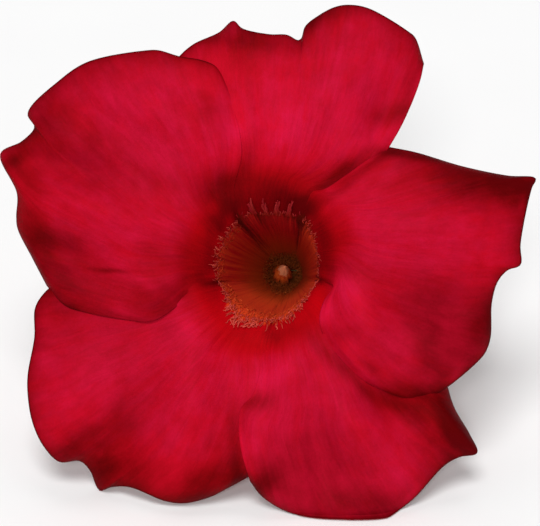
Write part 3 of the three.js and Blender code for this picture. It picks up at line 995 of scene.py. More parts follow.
@dataclass(frozen=True)
class Face:
    """What the five petals share: flare, throat profile, folds, hues, and painted shade and highlights."""

    flare: Points = ((8.6, -1.35), (9.5, -0.5), (12, 0.9), (16, 1.6), (22, 1.8), (28, 1.2), (34, 0), (42, -2.6))
    throat: Points = ((8.6, -1.35), (7.95, -2.6), (7.45, -4.5), (7.0, -7), (6.3, -11), (5.3, -16), (4.5, -20),
                      (3.7, -24), (3.15, -27), (2.75, -30))
    level_step: float = 1.1
    fold_depth: float = 1.35
    fold_start: float = 3.0
    folds: tuple[Patch, ...] = (
        # top petal
        Patch(2, 21, 95, 8, 6, 1.5), Patch(14, 30, 40, 8, 4, 1.1), Patch(17.5, 23.2, 60, 5, 3, -1.3),
        Patch(13.5, 18.5, 45, 4, 3, 0.7),
        # right petal
        Patch(24, 5.5, 3, 12, 4.5, 2.2), Patch(28, -6.5, -10, 8, 3.2, -1.8), Patch(14.5, -8.5, -60, 7, 4, 1.6),
        Patch(26.5, -13.5, -30, 6, 2.6, 0.8),
        # lower right petal
        Patch(14, -25, -48, 10, 3.6, 2.0), Patch(8, -29, -80, 8, 3, -1.5), Patch(-1.5, -26, -90, 7, 3, 0.9),
        Patch(3, -16.5, -80, 5, 4, 0.9), Patch(20, -20.5, 0, 8, 3, -1.2), Patch(14, -38, 0, 9, 4, 1.2),
        # lower left petal
        Patch(-12, -20, -95, 13, 4.6, 2.0), Patch(-23, -28, -130, 9, 3.6, -1.8),
        Patch(-30, -21, -110, 7, 3.6, 1.2),
        # left petal
        Patch(-18, 24, 150, 8, 4, 1.4), Patch(-8, 19, 110, 6, 3, 1.0), Patch(-8, 12, 125, 3, 2.2, -0.8),
        Patch(-30, 14.5, 165, 9, 3, -1.8), Patch(-26, 8.5, 165, 12, 3.2, 1.6), Patch(-29, 1, 170, 9, 3, -1.6),
        Patch(-17.5, -1.5, -10, 5, 2.6, 1.1),
    )
    # painted shade and highlights: shadow under overlapping edges, shade in folds and round the throat, lit
    # swellings
    painted_light_spots: tuple[Patch, ...] = (
        # grouped by the petal, with the throat beside it, where most of them lie
        # top petal
        Patch(-6, 8.5, 35, 3, 1.8, -0.42), Patch(5.2, 8.9, -10, 3, 1.9, -0.46),
        Patch(0, 10.2, 0, 4, 2.4, -0.30), Patch(0, 8.2, 0, 5, 1.2, -0.22), Patch(-3.8, 14, 60, 3, 1.8, -0.06),
        Patch(0.6, 2.2, 0, 4, 1.9, 0.24), Patch(-2, 6, 0, 4, 1.5, -0.1), Patch(0, 12.8, 0, 9, 2, -0.17),
        Patch(-3, 33, -6, 8, 1.6, -0.2), Patch(6.5, 35.5, 60, 2.5, 1.2, -0.18),
        Patch(-4, 34.5, 0, 2.2, 2.2, -0.12), Patch(-3.5, 30.5, 80, 2.5, 2, -0.1),
        Patch(9, 37.5, 20, 5, 1.8, -0.15), Patch(18.8, 22.6, 10, 4.5, 1.8, -0.22),
        Patch(10, 14.2, 20, 3.5, 1.5, -0.1), Patch(21.5, 28, 80, 8, 1.6, -0.14),
        Patch(21, 16.2, -8, 5, 0.7, -0.22), Patch(2.5, 21.5, 90, 5, 4, 0.12),
        Patch(-4.5, 19.5, 85, 4, 1.5, 0.15), Patch(16, 18, 40, 4, 1.5, 0.17), Patch(12, 22, 60, 4, 2.5, 0.07),
        Patch(-3.3, 16, 80, 3, 1.2, -0.16), Patch(2, 10.8, 0, 2, 1.4, -0.12), Patch(8, 34, 0, 3, 2, -0.06),
        Patch(20, 34, 60, 3, 2, -0.06), Patch(-16, 30, 0, 3, 1.5, -0.06),
        # right petal
        Patch(33, 12.5, -14, 11, 3.2, -0.45), Patch(37, 11, -20, 5, 3, -0.1), Patch(38.3, 9.6, 80, 2, 0.8, 0.2),
        Patch(37.2, 12.3, -14, 2.4, 0.7, -0.2), Patch(26, 11, -16, 9, 4, -0.12),
        Patch(8.2, 2.6, 95, 5, 1.5, -0.34), Patch(32, -9, 75, 4.5, 2.8, -0.28),
        Patch(26, -11.5, -65, 8, 4, -0.24), Patch(26, -5.5, -15, 7, 2.5, -0.12),
        Patch(20.5, -19.5, -8, 7, 2, -0.16), Patch(22, -22.9, -40, 3.5, 1.5, -0.1),
        Patch(11, 3, 95, 4, 2.5, -0.12), Patch(8.6, -2.4, 0, 2, 1.5, 0.1), Patch(24, -14, -40, 3, 1.6, -0.12),
        Patch(28, -14.5, -50, 2.5, 1.6, 0.08), Patch(27.7, -16.9, 50, 2, 0.8, 0.2),
        Patch(19, -10, -30, 4, 1.8, -0.06), Patch(28, -2, 0, 4, 2, -0.08), Patch(30, 4, 3, 7, 3, 0.04),
        Patch(32, -10, 60, 3, 1.6, -0.06), Patch(26, -11.5, 80, 3, 1.2, 0.09), Patch(32, 14, -10, 3, 1, 0.08),
        Patch(12.5, 12.6, 40, 6, 0.9, -0.18), Patch(17, 15.8, 30, 3, 0.8, -0.14),
        Patch(36.5, 6, 90, 3, 2, -0.06), Patch(6.2, 0.5, 90, 4, 1.4, 0.54), Patch(4.2, -1.6, 90, 3.5, 1.6, 0.2),
        Patch(1.5, -2.4, 0, 4, 0.9, 0.18), Patch(6.8, -2.7, -5, 2.4, 0.7, -0.22),
        Patch(13, -1, -5, 7, 1.6, -0.12),
        # lower right petal
        Patch(27.4, -24.2, -55, 8, 3.2, -0.52), Patch(19, -20.5, -20, 6, 2.2, -0.22),
        Patch(28.8, -28.6, -40, 1.2, 0.8, 0.16), Patch(28, -25.6, -40, 2, 1.2, -0.2),
        Patch(25, -24.8, -50, 2.5, 1, 0.14), Patch(30, -26, -60, 2, 1, -0.16),
        Patch(24, -21.8, -40, 2, 1.2, 0.18), Patch(23.5, -28, -55, 4, 2.6, -0.1),
        Patch(-0.4, -32.3, 50, 3.5, 2, -0.38), Patch(13, -35.2, 0, 7, 2.2, -0.24),
        Patch(19.6, -30.2, -50, 3, 2.5, 0.1), Patch(8, -30, 0, 8, 4, -0.13), Patch(6, -26, 20, 4, 2, -0.1),
        Patch(3, -33.6, -20, 3, 1.4, -0.1), Patch(7.5, -11.5, -60, 3, 1.5, -0.1),
        Patch(16, -18.3, -40, 2.5, 1.4, 0.12), Patch(15.2, -15.2, -45, 2, 0.8, -0.2),
        Patch(21, -20, -15, 3, 0.8, 0.15), Patch(12, -18, -45, 2, 1.5, 0.08),
        Patch(28.5, -21.5, -60, 2, 1.2, 0.1), Patch(24.5, -18.5, -60, 2, 1.2, 0.1),
        Patch(8.5, -6, -60, 2, 1.4, 0.12), Patch(11, -10.2, 0, 2.5, 1.4, -0.14), Patch(20, -18, 0, 2, 1, -0.07),
        Patch(-4, -26, 90, 5, 1.5, -0.1), Patch(10, -30, 0, 4, 2, -0.06), Patch(16, -35.5, 0, 3, 2.5, -0.08),
        Patch(12, -37.6, 0, 2, 1, 0.1), Patch(21.5, -34.8, 50, 2.5, 0.8, 0.22),
        Patch(3, -9.9, 5, 3.5, 1.3, -0.15), Patch(1.2, -11.2, -40, 2.2, 1.2, -0.14),
        Patch(0.4, -16.4, 30, 3.5, 1.8, 0.13),
        # lower left petal
        Patch(-24.6, -31.4, -75, 4, 2.8, -0.4), Patch(-20, -31, 80, 3, 2, -0.25),
        Patch(-17.5, -31, 80, 3, 1.6, -0.1), Patch(-26.2, -24.6, 0, 2, 1.3, -0.12),
        Patch(-26, -28.2, 0, 1.6, 1, 0.14), Patch(-30, -28.3, 15, 2.8, 1.6, -0.3),
        Patch(-22.5, -24, 60, 6.5, 3, -0.22), Patch(-9.2, -32, 25, 5.5, 2.3, -0.34),
        Patch(-5.6, -32.4, 30, 1.5, 1, -0.12), Patch(-10, -34.6, 5, 5, 1.6, -0.25),
        Patch(-4, -10, 0, 2, 1.5, -0.1), Patch(-6.5, -30, 60, 3, 1.5, -0.1), Patch(-24, -30, 60, 2, 2, -0.06),
        Patch(-32, -26, 60, 3, 2, 0.04), Patch(-16, -18, 90, 3, 2, -0.07), Patch(-8, -26, 90, 3, 1.5, -0.08),
        Patch(-12, -34, 0, 3, 1, 0.1), Patch(-20, -26, 60, 3, 2, -0.07), Patch(-31, -10, 90, 5, 3, -0.08),
        Patch(-7.8, -5, -60, 2, 1.2, -0.15), Patch(0, -7, 0, 2.5, 1.5, 0.08), Patch(-4, -6.4, -25, 4, 2, 0.24),
        Patch(1.2, -7.2, 80, 1.3, 0.35, -0.3), Patch(-4.6, -2.6, -8, 2.2, 0.5, -0.15),
        Patch(-5, -3.1, -5, 3, 0.6, -0.12), Patch(-6.8, 5.4, 120, 2, 1.2, -0.32),
        Patch(6.2, 5.4, 110, 2, 1.2, -0.28), Patch(8.4, 8.2, 45, 1.2, 1, 0.2),
        Patch(-5.4, -4.8, 110, 2, 1.2, 0.14), Patch(-2.8, 6.8, 0, 1.6, 1.2, -0.12),
        # left petal
        Patch(-33, 21.5, 40, 5, 3.5, -0.26), Patch(-24, 28, 10, 5, 2.5, -0.08),
        Patch(-30, 15.5, -25, 9, 3, -0.18), Patch(-36, 12.8, -40, 3.4, 1.8, -0.22),
        Patch(-25, 18.6, -20, 6, 2.8, -0.15), Patch(-16, 12, -20, 6, 3, -0.1),
        Patch(-34.5, 18.5, 45, 2.5, 2, 0.06), Patch(-31, 0.5, -20, 4, 1.8, 0.12),
        Patch(-31, -6.5, -10, 4, 2, -0.1), Patch(-22, -11, 0, 9, 4, -0.08), Patch(-28.5, -26, 0, 2.5, 2, -0.2),
        Patch(-34, 3, -60, 6, 3, -0.42), Patch(-27, -1.5, -10, 9, 2.8, -0.17), Patch(-29, 2, -30, 4, 2, -0.12),
        Patch(-9.6, -0.5, 100, 4, 2.2, -0.22), Patch(-8.4, 2.5, 95, 5, 1.1, -0.2),
        Patch(-15.5, 0.5, 0, 4, 3, -0.14), Patch(-12.2, 2, 95, 5, 1.2, -0.12),
        Patch(-12.2, -2.2, 0, 1.6, 1.4, -0.08), Patch(-10, -2, 90, 1.2, 1, -0.14),
        Patch(-13.5, -4.3, -20, 3, 1.2, -0.14), Patch(-8.8, 22.5, 100, 2.8, 1.6, -0.12),
        Patch(-7.3, 11.2, 30, 3.2, 2.2, -0.33), Patch(-17, -6, -20, 5, 1.6, -0.15),
        Patch(-28, -5, -20, 7, 2, -0.12), Patch(-5.5, 2, 90, 4, 1.8, 0.23), Patch(-4, -0.5, 90, 4, 2, 0.22),
        Patch(3.9, -1.4, 90, 1.6, 0.9, 0.14), Patch(-6, -1.8, 5, 2.6, 0.8, 0.3),
        Patch(-38, 15.6, 30, 2.6, 1.2, -0.3), Patch(-34, 4.5, 0, 3, 2.5, -0.06), Patch(-16, 2, 0, 3, 2, -0.07),
        Patch(-24, -6, -10, 4, 1.5, -0.05), Patch(-26.5, -4.2, -12, 4, 1.1, -0.12),
        Patch(-29.5, 4, -20, 2.6, 1.4, -0.12), Patch(-8, 8, 110, 1.2, 1.0, 0.16),
        Patch(-8, 18, 90, 3, 1.5, 0.06), Patch(-23.5, -0.9, -3, 3.4, 0.35, -0.22),
    )

    hues: tuple[Patch, ...] = (
        # top petal
        Patch(12, 24, 50, 10, 5, 0.3), Patch(14, 18, 40, 4, 2.5, 0.3), Patch(1, 13, 0, 9, 4, -0.9),
        Patch(-6, 30, 0, 6, 3, -0.8), Patch(-3.5, 24.5, 80, 4, 2, -0.5),
        # right petal
        Patch(17, 5, 0, 7, 5, 0.25), Patch(14, -4, 0, 4, 3, -0.3), Patch(27.5, -11, -65, 8, 5, 0.8),
        Patch(10.5, -2, -30, 4, 3, 0.9), Patch(19, -11.5, -60, 4, 2.5, 0.6), Patch(35, 12, -10, 8, 2.5, -0.6),
        Patch(34, 1, 90, 8, 4, -0.4), Patch(22, -20.5, -25, 5, 2.5, -0.6), Patch(11.5, 6, 90, 4, 2, -0.4),
        Patch(27, -19, -60, 4, 2, -0.4),
        # lower right petal
        Patch(6, -26, -60, 13, 8, 0.35), Patch(4, -34, 5, 10, 4, 0.8), Patch(26, -22, -50, 5, 4, -0.3),
        Patch(-1, -17, 60, 4, 2, 0.4), Patch(12, -18, -45, 5, 2, 0.3),
        # lower left petal
        Patch(-24, -14, -10, 10, 6, 0.35), Patch(-15, -32.5, -5, 13, 4, -1.2),
        Patch(-22.5, -27.5, 20, 4, 2.5, -0.5), Patch(-3, -11.5, 0, 6, 3.5, -0.9),
        Patch(-14, -10, -30, 4, 2.5, 0.5),
        # left petal
        Patch(-18, 22, -20, 10, 6, 0.3), Patch(-16, 14, -20, 9, 4.5, 0.4), Patch(-6.5, 18.5, 80, 4, 2, 0.2),
        Patch(-10, 2, 90, 8, 2.5, -0.4), Patch(-36.5, 12, 90, 8, 3, -1.0), Patch(-6, 10, 30, 3, 2, -0.4),
    )

    def flare_height(self, radius: np.ndarray) -> np.ndarray:
        """The height of the petals' flare at a radius."""
        traced = smooth_path(self.flare, np.linspace(0, 1, 200))
        return np.interp(radius, traced[:, 0], traced[:, 1])

    def height(self, x: np.ndarray, y: np.ndarray) -> np.ndarray:
        """The height of the face at places across it.

        Args:
            x: places across the face.
            y: places up the face.

        Returns:
            The height at each place.
        """
        radius = np.hypot(x, y)
        folds = self.fold_depth * sum(fold.at(x, y) for fold in self.folds)
        return self.flare_height(radius) + folds * smooth_step(0, self.fold_start, radius - FLOWER.ring_radius)

    def tone(self, x: np.ndarray, y: np.ndarray) -> np.ndarray:
        """Painted light and shade across the face, round 0: painted highlight above, painted shade below."""
        return sum((shade.at(x, y) for shade in self.painted_light_spots), np.zeros_like(x))

    def pinkness(self, x: np.ndarray, y: np.ndarray) -> np.ndarray:
        """How pink the colour is at places across the face, round 0."""
        return sum((hue.at(x, y) for hue in self.hues), np.zeros_like(x))


@dataclass(frozen=True)
class Petal:
    """One petal: its lobe across the face, and its share of the throat's wall.

    droops, tucks and side_shades hold a value for its first side and one for its second: how far the side
    drops, how far it is tucked under near the throat, and how much painted shade it gets. edge and warmth are
    spaced evenly from the first seam to the second: where the orange ends, and how orange the throat's wall is.
    ragged is how uneven the orange's edge is.
    """

    name: str
    level: float
    first: Seam
    second: Seam
    first_side: Points
    rim: Points
    second_side: Points
    curls: tuple[Curl, ...]
    seed: int
    droops: tuple[float, float] = (0.5, 0.5)
    tucks: tuple[float, float] = (0.0, 0.0)
    side_shades: tuple[float, float] = (0.0, 0.0)
    # painted shade and highlights on this petal alone, such as shadow under a neighbour's edge
    painted_light_spots: tuple[Patch, ...] = ()
    edge: tuple[float, ...] = (0.0, 0.0, 0.0)
    warmth: tuple[float, ...] = (0.5, 0.5, 0.5)
    ragged: float = 0.6
    columns: int = 150
    wall_rows: int = 60
    lobe_rows: int = 130
    thickness: float = 0.30
    rim_thickness: float = 0.13
    overlap: float = 0.45
    droop_reach: float = 2.4
    # rim_shade: darker towards the rim, partly the petal's own darker margin, partly painted shade of its curl
    rim_shade: float = 0.32
    # painted_rim_line: a thin painted dark line on the rim's edge
    painted_rim_line: float = 0.28
    shade_reach: float = 1.4
    eye_distance: float = 500.0
    groove_reach: float = 0.6
    groove_depth: float = 0.2
    groove_radii: tuple[float, float] = (3.4, 5)
    wall_bulge: float = 0.06
    wall_margin: float = 40.0
    rim_band: float = 2.4
    rim_angle: float = 24.0
    most_curl: float = 165
    curl_steps: int = 64
    curl_tightening: float = 1.4
    flat_rows: int = 160
    comes_free: tuple[float, float] = (9.5, 14)
    joined_margin: float = 14
    tuck_ends: tuple[float, float] = (15, 20)
    painted_rim_line_width: float = 0.17
    wave_height: float = 0.22
    crumple_height: float = 0.10
    frill_height: float = 0.45
    vein_height: float = 0.055
    seam_dip: float = 0.25
    seam_dip_length: float = 2.2
    # crease_reach and crease_shade: painted shade in the throat's creases along the seams
    crease_reach: float = 0.75
    crease_shade: float = 0.42
    base_tone: float = 0.55
    uv_length: float = 50
    coarse_teeth: tuple[float, float] = (20, 0.6)
    fine_teeth: tuple[float, float] = (52, 0.4)

    def angles(self, shares: np.ndarray) -> np.ndarray:
        """Directions round the mouth.

        Args:
            shares: shares of the way from the first seam to the second.

        Returns:
            The directions, in radians.
        """
        last = self.second.angle + (360 if self.second.angle < self.first.angle else 0)
        tuck = math.degrees(self.overlap / 2 / FLOWER.ring_radius)
        return np.radians(self.first.angle - tuck + (last - self.first.angle + 2 * tuck) * shares)

    @staticmethod
    def between(values: tuple[float, ...], shares: np.ndarray) -> np.ndarray:
        """Values spaced evenly from the first seam to the second, read at shares of the way."""
        return np.interp(shares, np.linspace(0, 1, len(values)), values)

    def groove(self, radius: np.ndarray, shares: np.ndarray) -> np.ndarray:
        """A narrow hump of height 1 at the petal's two seams.

        Args:
            radius: distances from the axis, as a column or a row.
            shares: shares of the way round.

        Returns:
            The height of the hump at each place.
        """
        turn = self.angles(shares)
        gap = np.minimum(turn - turn[0], turn[-1] - turn) * radius
        return np.exp(-((gap / self.groove_reach) ** 2))

    def wall(self, face: Face, shares: np.ndarray) -> tuple[np.ndarray, np.ndarray]:
        """The throat's wall, from its foot up to just below the ring.

        Args:
            face: the shape that the petals share.
            shares: shares of the way round from the first seam to the second.

        Returns:
            The grid of points, and the distance along the petal of each row.
        """
        traced = smooth_path(face.throat, np.linspace(1, 0, self.wall_rows + 1))[:-1]
        steps = np.linalg.norm(np.diff(np.vstack([traced, face.throat[0]]), axis=0), axis=1)
        along = -np.cumsum(steps[::-1])[::-1]
        radius, depth = traced[:, :1], traced[:, 1:]
        below = smooth_step(0, 3, FLOWER.ring_depth - depth)
        reach = radius * (1 + self.wall_bulge * below * ((2 * shares - 1) ** 2 - 0.5))
        deepening = (0.5 + 0.5 * below) * smooth_step(*self.groove_radii, radius)
        reach = reach + self.groove_depth * self.groove(radius, shares) * deepening
        turn = self.angles(shares)
        depths = np.broadcast_to(depth, reach.shape)
        grid = np.stack([reach * np.cos(turn), reach * np.sin(turn), depths], axis=-1)
        return FLOWER.leaning(grid), along

    def outline(self, shares: np.ndarray, out: np.ndarray) -> np.ndarray:
        """The flat lobe: a patch stretched between the ring, the two sides and the rim.

        Args:
            shares: shares of the way round, one for each column.
            out: shares of the way from the ring to the rim, one for each row.

        Returns:
            A grid of (x, y) places.
        """
        turn = self.angles(shares)
        ring = FLOWER.ring_radius * np.stack([np.cos(turn), np.sin(turn)], axis=-1)
        rim = smooth_path(self.rim, shares)
        partings = []
        for seam, way in ((self.first, -1), (self.second, 1)):
            shift = way * self.overlap / math.hypot(*seam.parting)
            x, y = seam.parting
            partings.append((x - y * shift, y + x * shift))
        first = smooth_path((tuple(ring[0]), partings[0], *self.first_side, self.rim[0]), out)
        second = smooth_path((tuple(ring[-1]), partings[1], *self.second_side, self.rim[-1]), out)
        s, t = out[:, None, None], shares[None, :, None]
        corners = (1 - s) * ((1 - t) * ring[0] + t * ring[-1]) + s * ((1 - t) * rim[0] + t * rim[-1])
        return (1 - s) * ring + s * rim + (1 - t) * first[:, None] + t * second[:, None] - corners

    def curled(self, flat: np.ndarray, shares: np.ndarray) -> tuple[np.ndarray, np.ndarray, np.ndarray]:
        """Curls the rim back, so that the outline stays where it is and the edge turns under behind it.

        Args:
            flat: the flat lobe, finely stepped.
            shares: shares of the way round, one for each column.

        Returns:
            The (x, y) places, how far each has dropped, and its distance to the rim along the petal.
        """
        band, angle = np.full(shares.shape, self.rim_band), np.full(shares.shape, self.rim_angle)
        for curl in self.curls:
            weight = hill(shares, curl.at, curl.half_width)
            band, angle = band + curl.band * weight, angle + curl.angle * weight
        angle = np.radians(np.clip(angle, 0, self.most_curl))
        rows = np.linspace(0, 1, self.lobe_rows + 1)[1:]
        places, drops, margins = [], [], []
        bend = np.linspace(0, 1, self.curl_steps + 1)
        for j in range(len(shares)):
            line = flat[:, j]
            length = np.concatenate([[0], np.cumsum(np.linalg.norm(np.diff(line, axis=0), axis=1))])
            turn = angle[j] * bend ** self.curl_tightening
            ahead = np.concatenate([[0], np.cumsum((np.cos(turn[1:]) + np.cos(turn[:-1])) / 2)]) / self.curl_steps
            under = np.concatenate([[0], np.cumsum((np.sin(turn[1:]) + np.sin(turn[:-1])) / 2)]) / self.curl_steps
            start = length[-1] - band[j] * ahead.max()
            whole = start + band[j]
            at = rows * whole
            share = np.clip((at - start) / band[j], 0, 1)
            seen_at = np.minimum(at, start) + band[j] * np.interp(share, bend, ahead)
            places.append(np.stack([np.interp(seen_at, length, line[:, k]) for k in (0, 1)], axis=-1))
            drops.append(band[j] * np.interp(share, bend, under))
            margins.append(whole - at)
        return np.stack(places, axis=1), np.stack(drops, axis=1), np.stack(margins, axis=1)

    def side_gaps(self, places: np.ndarray) -> tuple[np.ndarray, np.ndarray]:
        """Distances across the lobe from its two sides.

        Args:
            places: the grid of (x, y) places.

        Returns:
            The distances from the first side, and from the second.
        """
        steps = np.linalg.norm(np.diff(places, axis=1), axis=-1)
        across = np.concatenate([np.zeros((len(places), 1)), np.cumsum(steps, axis=1)], axis=1)
        return across, across[:, -1:] - across

    def lobe(self, face: Face, shares: np.ndarray) -> tuple[np.ndarray, np.ndarray, np.ndarray, np.ndarray]:
        """The lobe with its folds, level, drooping sides and curled rim.

        Args:
            face: the shape that the petals share.
            shares: shares of the way round, one for each column.

        Returns:
            The grid of points, each point's distance along the petal and to its nearest edge, and the painted
            shade along its rim and sides.
        """
        flat = self.outline(shares, np.linspace(0, 1, self.flat_rows))
        places, drop, margin = self.curled(flat, shares)
        x, y = places[..., 0], places[..., 1]
        radius = np.hypot(x, y)
        along = margin[:1] + (margin[0] - margin[1])[None] - margin
        first_rise, second_rise = (smooth_step(*seam.rise, radius) for seam in (self.first, self.second))
        risen = (1 - shares) * first_rise + shares * second_rise
        lift = self.level * face.level_step * risen
        seam = self.groove(radius[:1], shares) * (1 - smooth_step(0, self.seam_dip_length, along))
        free = smooth_step(*self.comes_free, radius)
        droop = np.zeros_like(radius)
        # painted shade: towards the rim, a dark line on its edge, and along the sides that meet another petal
        painted_edge_shade = self.rim_shade * np.exp(-margin / self.shade_reach)
        painted_edge_shade = painted_edge_shade + self.painted_rim_line * hill(margin, 0, self.painted_rim_line_width)
        near = free - smooth_step(*self.tuck_ends, radius)
        for gap, depth, tuck, dark in zip(self.side_gaps(places), self.droops, self.tucks, self.side_shades):
            droop += (depth * free + tuck * near) * np.exp(-((gap / self.droop_reach) ** 1.5))
            painted_edge_shade = np.maximum(painted_edge_shade, dark * free * np.exp(-gap / self.shade_reach))
            margin = np.minimum(margin, gap + self.joined_margin * (1 - free))
        ripple, crumple = GentleNoise(self.seed), GentleNoise(self.seed + 1)
        open_face = smooth_step(1, 6, along)
        wave = self.wave_height * ripple(shares[None] * 9, along / 9)
        wave = wave + self.crumple_height * crumple(shares[None] * 26, along / 5)
        frill = self.frill_height * ripple(shares[None] * 14 + 20, along * 0 + 0.5) * np.exp(-margin / 4)
        veins = self.vein_height * crumple(shares[None] * 46 + 7, along / 14 + 3)
        height = face.height(x, y) + lift - drop - droop - self.seam_dip * seam
        height = height + (wave + frill + veins) * open_face
        grid = np.stack([x, y, height], axis=-1)
        grid[..., :2] *= 1 - (height[..., None] - FLOWER.ring_depth) / self.eye_distance
        return grid, along, margin, painted_edge_shade

    def sheet(self, face: Face) -> "Sheet":
        """The petal's middle surface.

        Args:
            face: the shape that the petals share.

        Returns:
            The surface, from the foot of the throat's wall to the rim.
        """
        shares = np.linspace(0, 1, self.columns + 1)
        wall, wall_along = self.wall(face, shares)
        lobe, lobe_along, margin, painted_edge_shade = self.lobe(face, shares)
        grid = np.concatenate([wall, lobe])
        above = FLOWER.place(grid)[..., 2] / MM - self.thickness
        grid[..., 2] += np.maximum(0, -above) / math.sin(math.radians(FLOWER.face_elevation))
        along = np.concatenate([np.repeat(wall_along[:, None], len(shares), axis=1), lobe_along])
        margin = np.concatenate([np.full(wall.shape[:2], self.wall_margin), margin])
        painted_edge_shade = np.concatenate([np.zeros(wall.shape[:2]), painted_edge_shade])
        ripple = GentleNoise(self.seed + 2)
        coarse_count, coarse_share = self.coarse_teeth
        fine_count, fine_share = self.fine_teeth
        coarse = coarse_share * ripple(shares * coarse_count, 0 * shares + 0.5)
        fine = fine_share * ripple(shares * fine_count, 0 * shares + 3.5)
        edge = self.between(self.edge, shares) + self.ragged * (coarse + fine)
        return Sheet(shares, grid, normals_of(grid), along, margin, painted_edge_shade, edge)

    def crease(self, radius: np.ndarray, along: np.ndarray, shares: np.ndarray) -> np.ndarray:
        """How deep in the painted shade of the two seams' creases each point lies.

        Args:
            radius: distances from the axis.
            along: distances along the petal.
            shares: shares of the way round.

        Returns:
            The depth in the creases, from 0 to 1.
        """
        turn = self.angles(shares)
        dark = np.zeros_like(radius)
        for gap, seam in ((turn - turn[0], self.first), (turn[-1] - turn, self.second)):
            reach = smooth_step(-seam.crease, -0.45 * seam.crease, along) * (1 - smooth_step(-0.5, 2.5, along))
            dark += np.exp(-((gap * radius / self.crease_reach) ** 2)) * reach
        return dark

    def build(self, sheet: "Sheet", face: Face, material: bpy.types.Material) -> bpy.types.Object:
        """Makes the petal's closed sheet.

        Args:
            sheet: the petal's middle surface.
            face: the shape that the petals share.
            material: the petals' finish.

        Returns:
            The finished piece.
        """
        grid, along, margin = sheet.grid, sheet.along, sheet.margin
        height, width = along.shape
        thick = self.rim_thickness + (self.thickness - self.rim_thickness) * smooth_step(0, 3, margin)
        half = sheet.normal * thick[..., None] / 2
        places = np.concatenate([(grid + half).reshape(-1, 3), (grid - half).reshape(-1, 3)])
        x, y = grid[..., 0], grid[..., 1]
        # painted light and shade: the face's spots and the petal's own, less painted shade at rims, sides and
        # creases
        shade = self.base_tone + face.tone(x, y) + sum(patch.at(x, y) for patch in self.painted_light_spots) - sheet.painted_edge_shade
        shade = shade - self.crease_shade * self.crease(np.hypot(x, y), along, sheet.shares)
        u = np.broadcast_to(sheet.shares[None] + self.seed, along.shape)
        uv = np.stack([u, along / self.uv_length + 1], axis=-1)
        warmth = self.between(self.warmth, sheet.shares)
        values = {"along": along, "tone": shade, "edge": np.broadcast_to(sheet.edge, along.shape),
                  "warmth": np.broadcast_to(warmth, along.shape), "pinkness": face.pinkness(x, y)}
        attributes = {key: np.tile(value.ravel(), 2) for key, value in values.items()}
        attributes["back"] = np.repeat([0.0, 1.0], height * width)
        name = self.name + "_velvet"
        return link_object(name, make_mesh(name, FLOWER.place(places), shell_faces(height, width),
                                           np.tile(uv.reshape(-1, 2), (2, 1)), attributes, material))


@dataclass(frozen=True)
class Sheet:
    """A petal's middle surface: rows run out along the petal, columns round from its first seam."""

    shares: np.ndarray
    grid: np.ndarray
    normal: np.ndarray
    along: np.ndarray
    margin: np.ndarray
    # painted shade at the rim and along the sides
    painted_edge_shade: np.ndarray
    edge: np.ndarray

    def at(self, share: float, beyond: float) -> tuple[np.ndarray, np.ndarray, np.ndarray, np.ndarray]:
        """Finds a place on the surface.

        Args:
            share: share of the way round from the first seam.
            beyond: millimetres from where the orange ends, towards the rim.

        Returns:
            The place, and the unit directions out along the petal, round it and out of its front.
        """
        j = int(round(share * (len(self.shares) - 1)))
        j = min(max(j, 1), len(self.shares) - 2)
        column, along = self.along[:, j], self.edge[j] + beyond
        place = np.array([np.interp(along, column, self.grid[:, j, k]) for k in range(3)])
        ahead = np.array([np.interp(along + 0.5, column, self.grid[:, j, k]) for k in range(3)]) - place
        i = int(np.searchsorted(column, along))
        round_way = self.grid[i, j + 1] - self.grid[i, j - 1]
        out, round_way = ahead / np.linalg.norm(ahead), round_way / np.linalg.norm(round_way)
        front = np.cross(out, round_way)
        return place, out, round_way, front / np.linalg.norm(front)


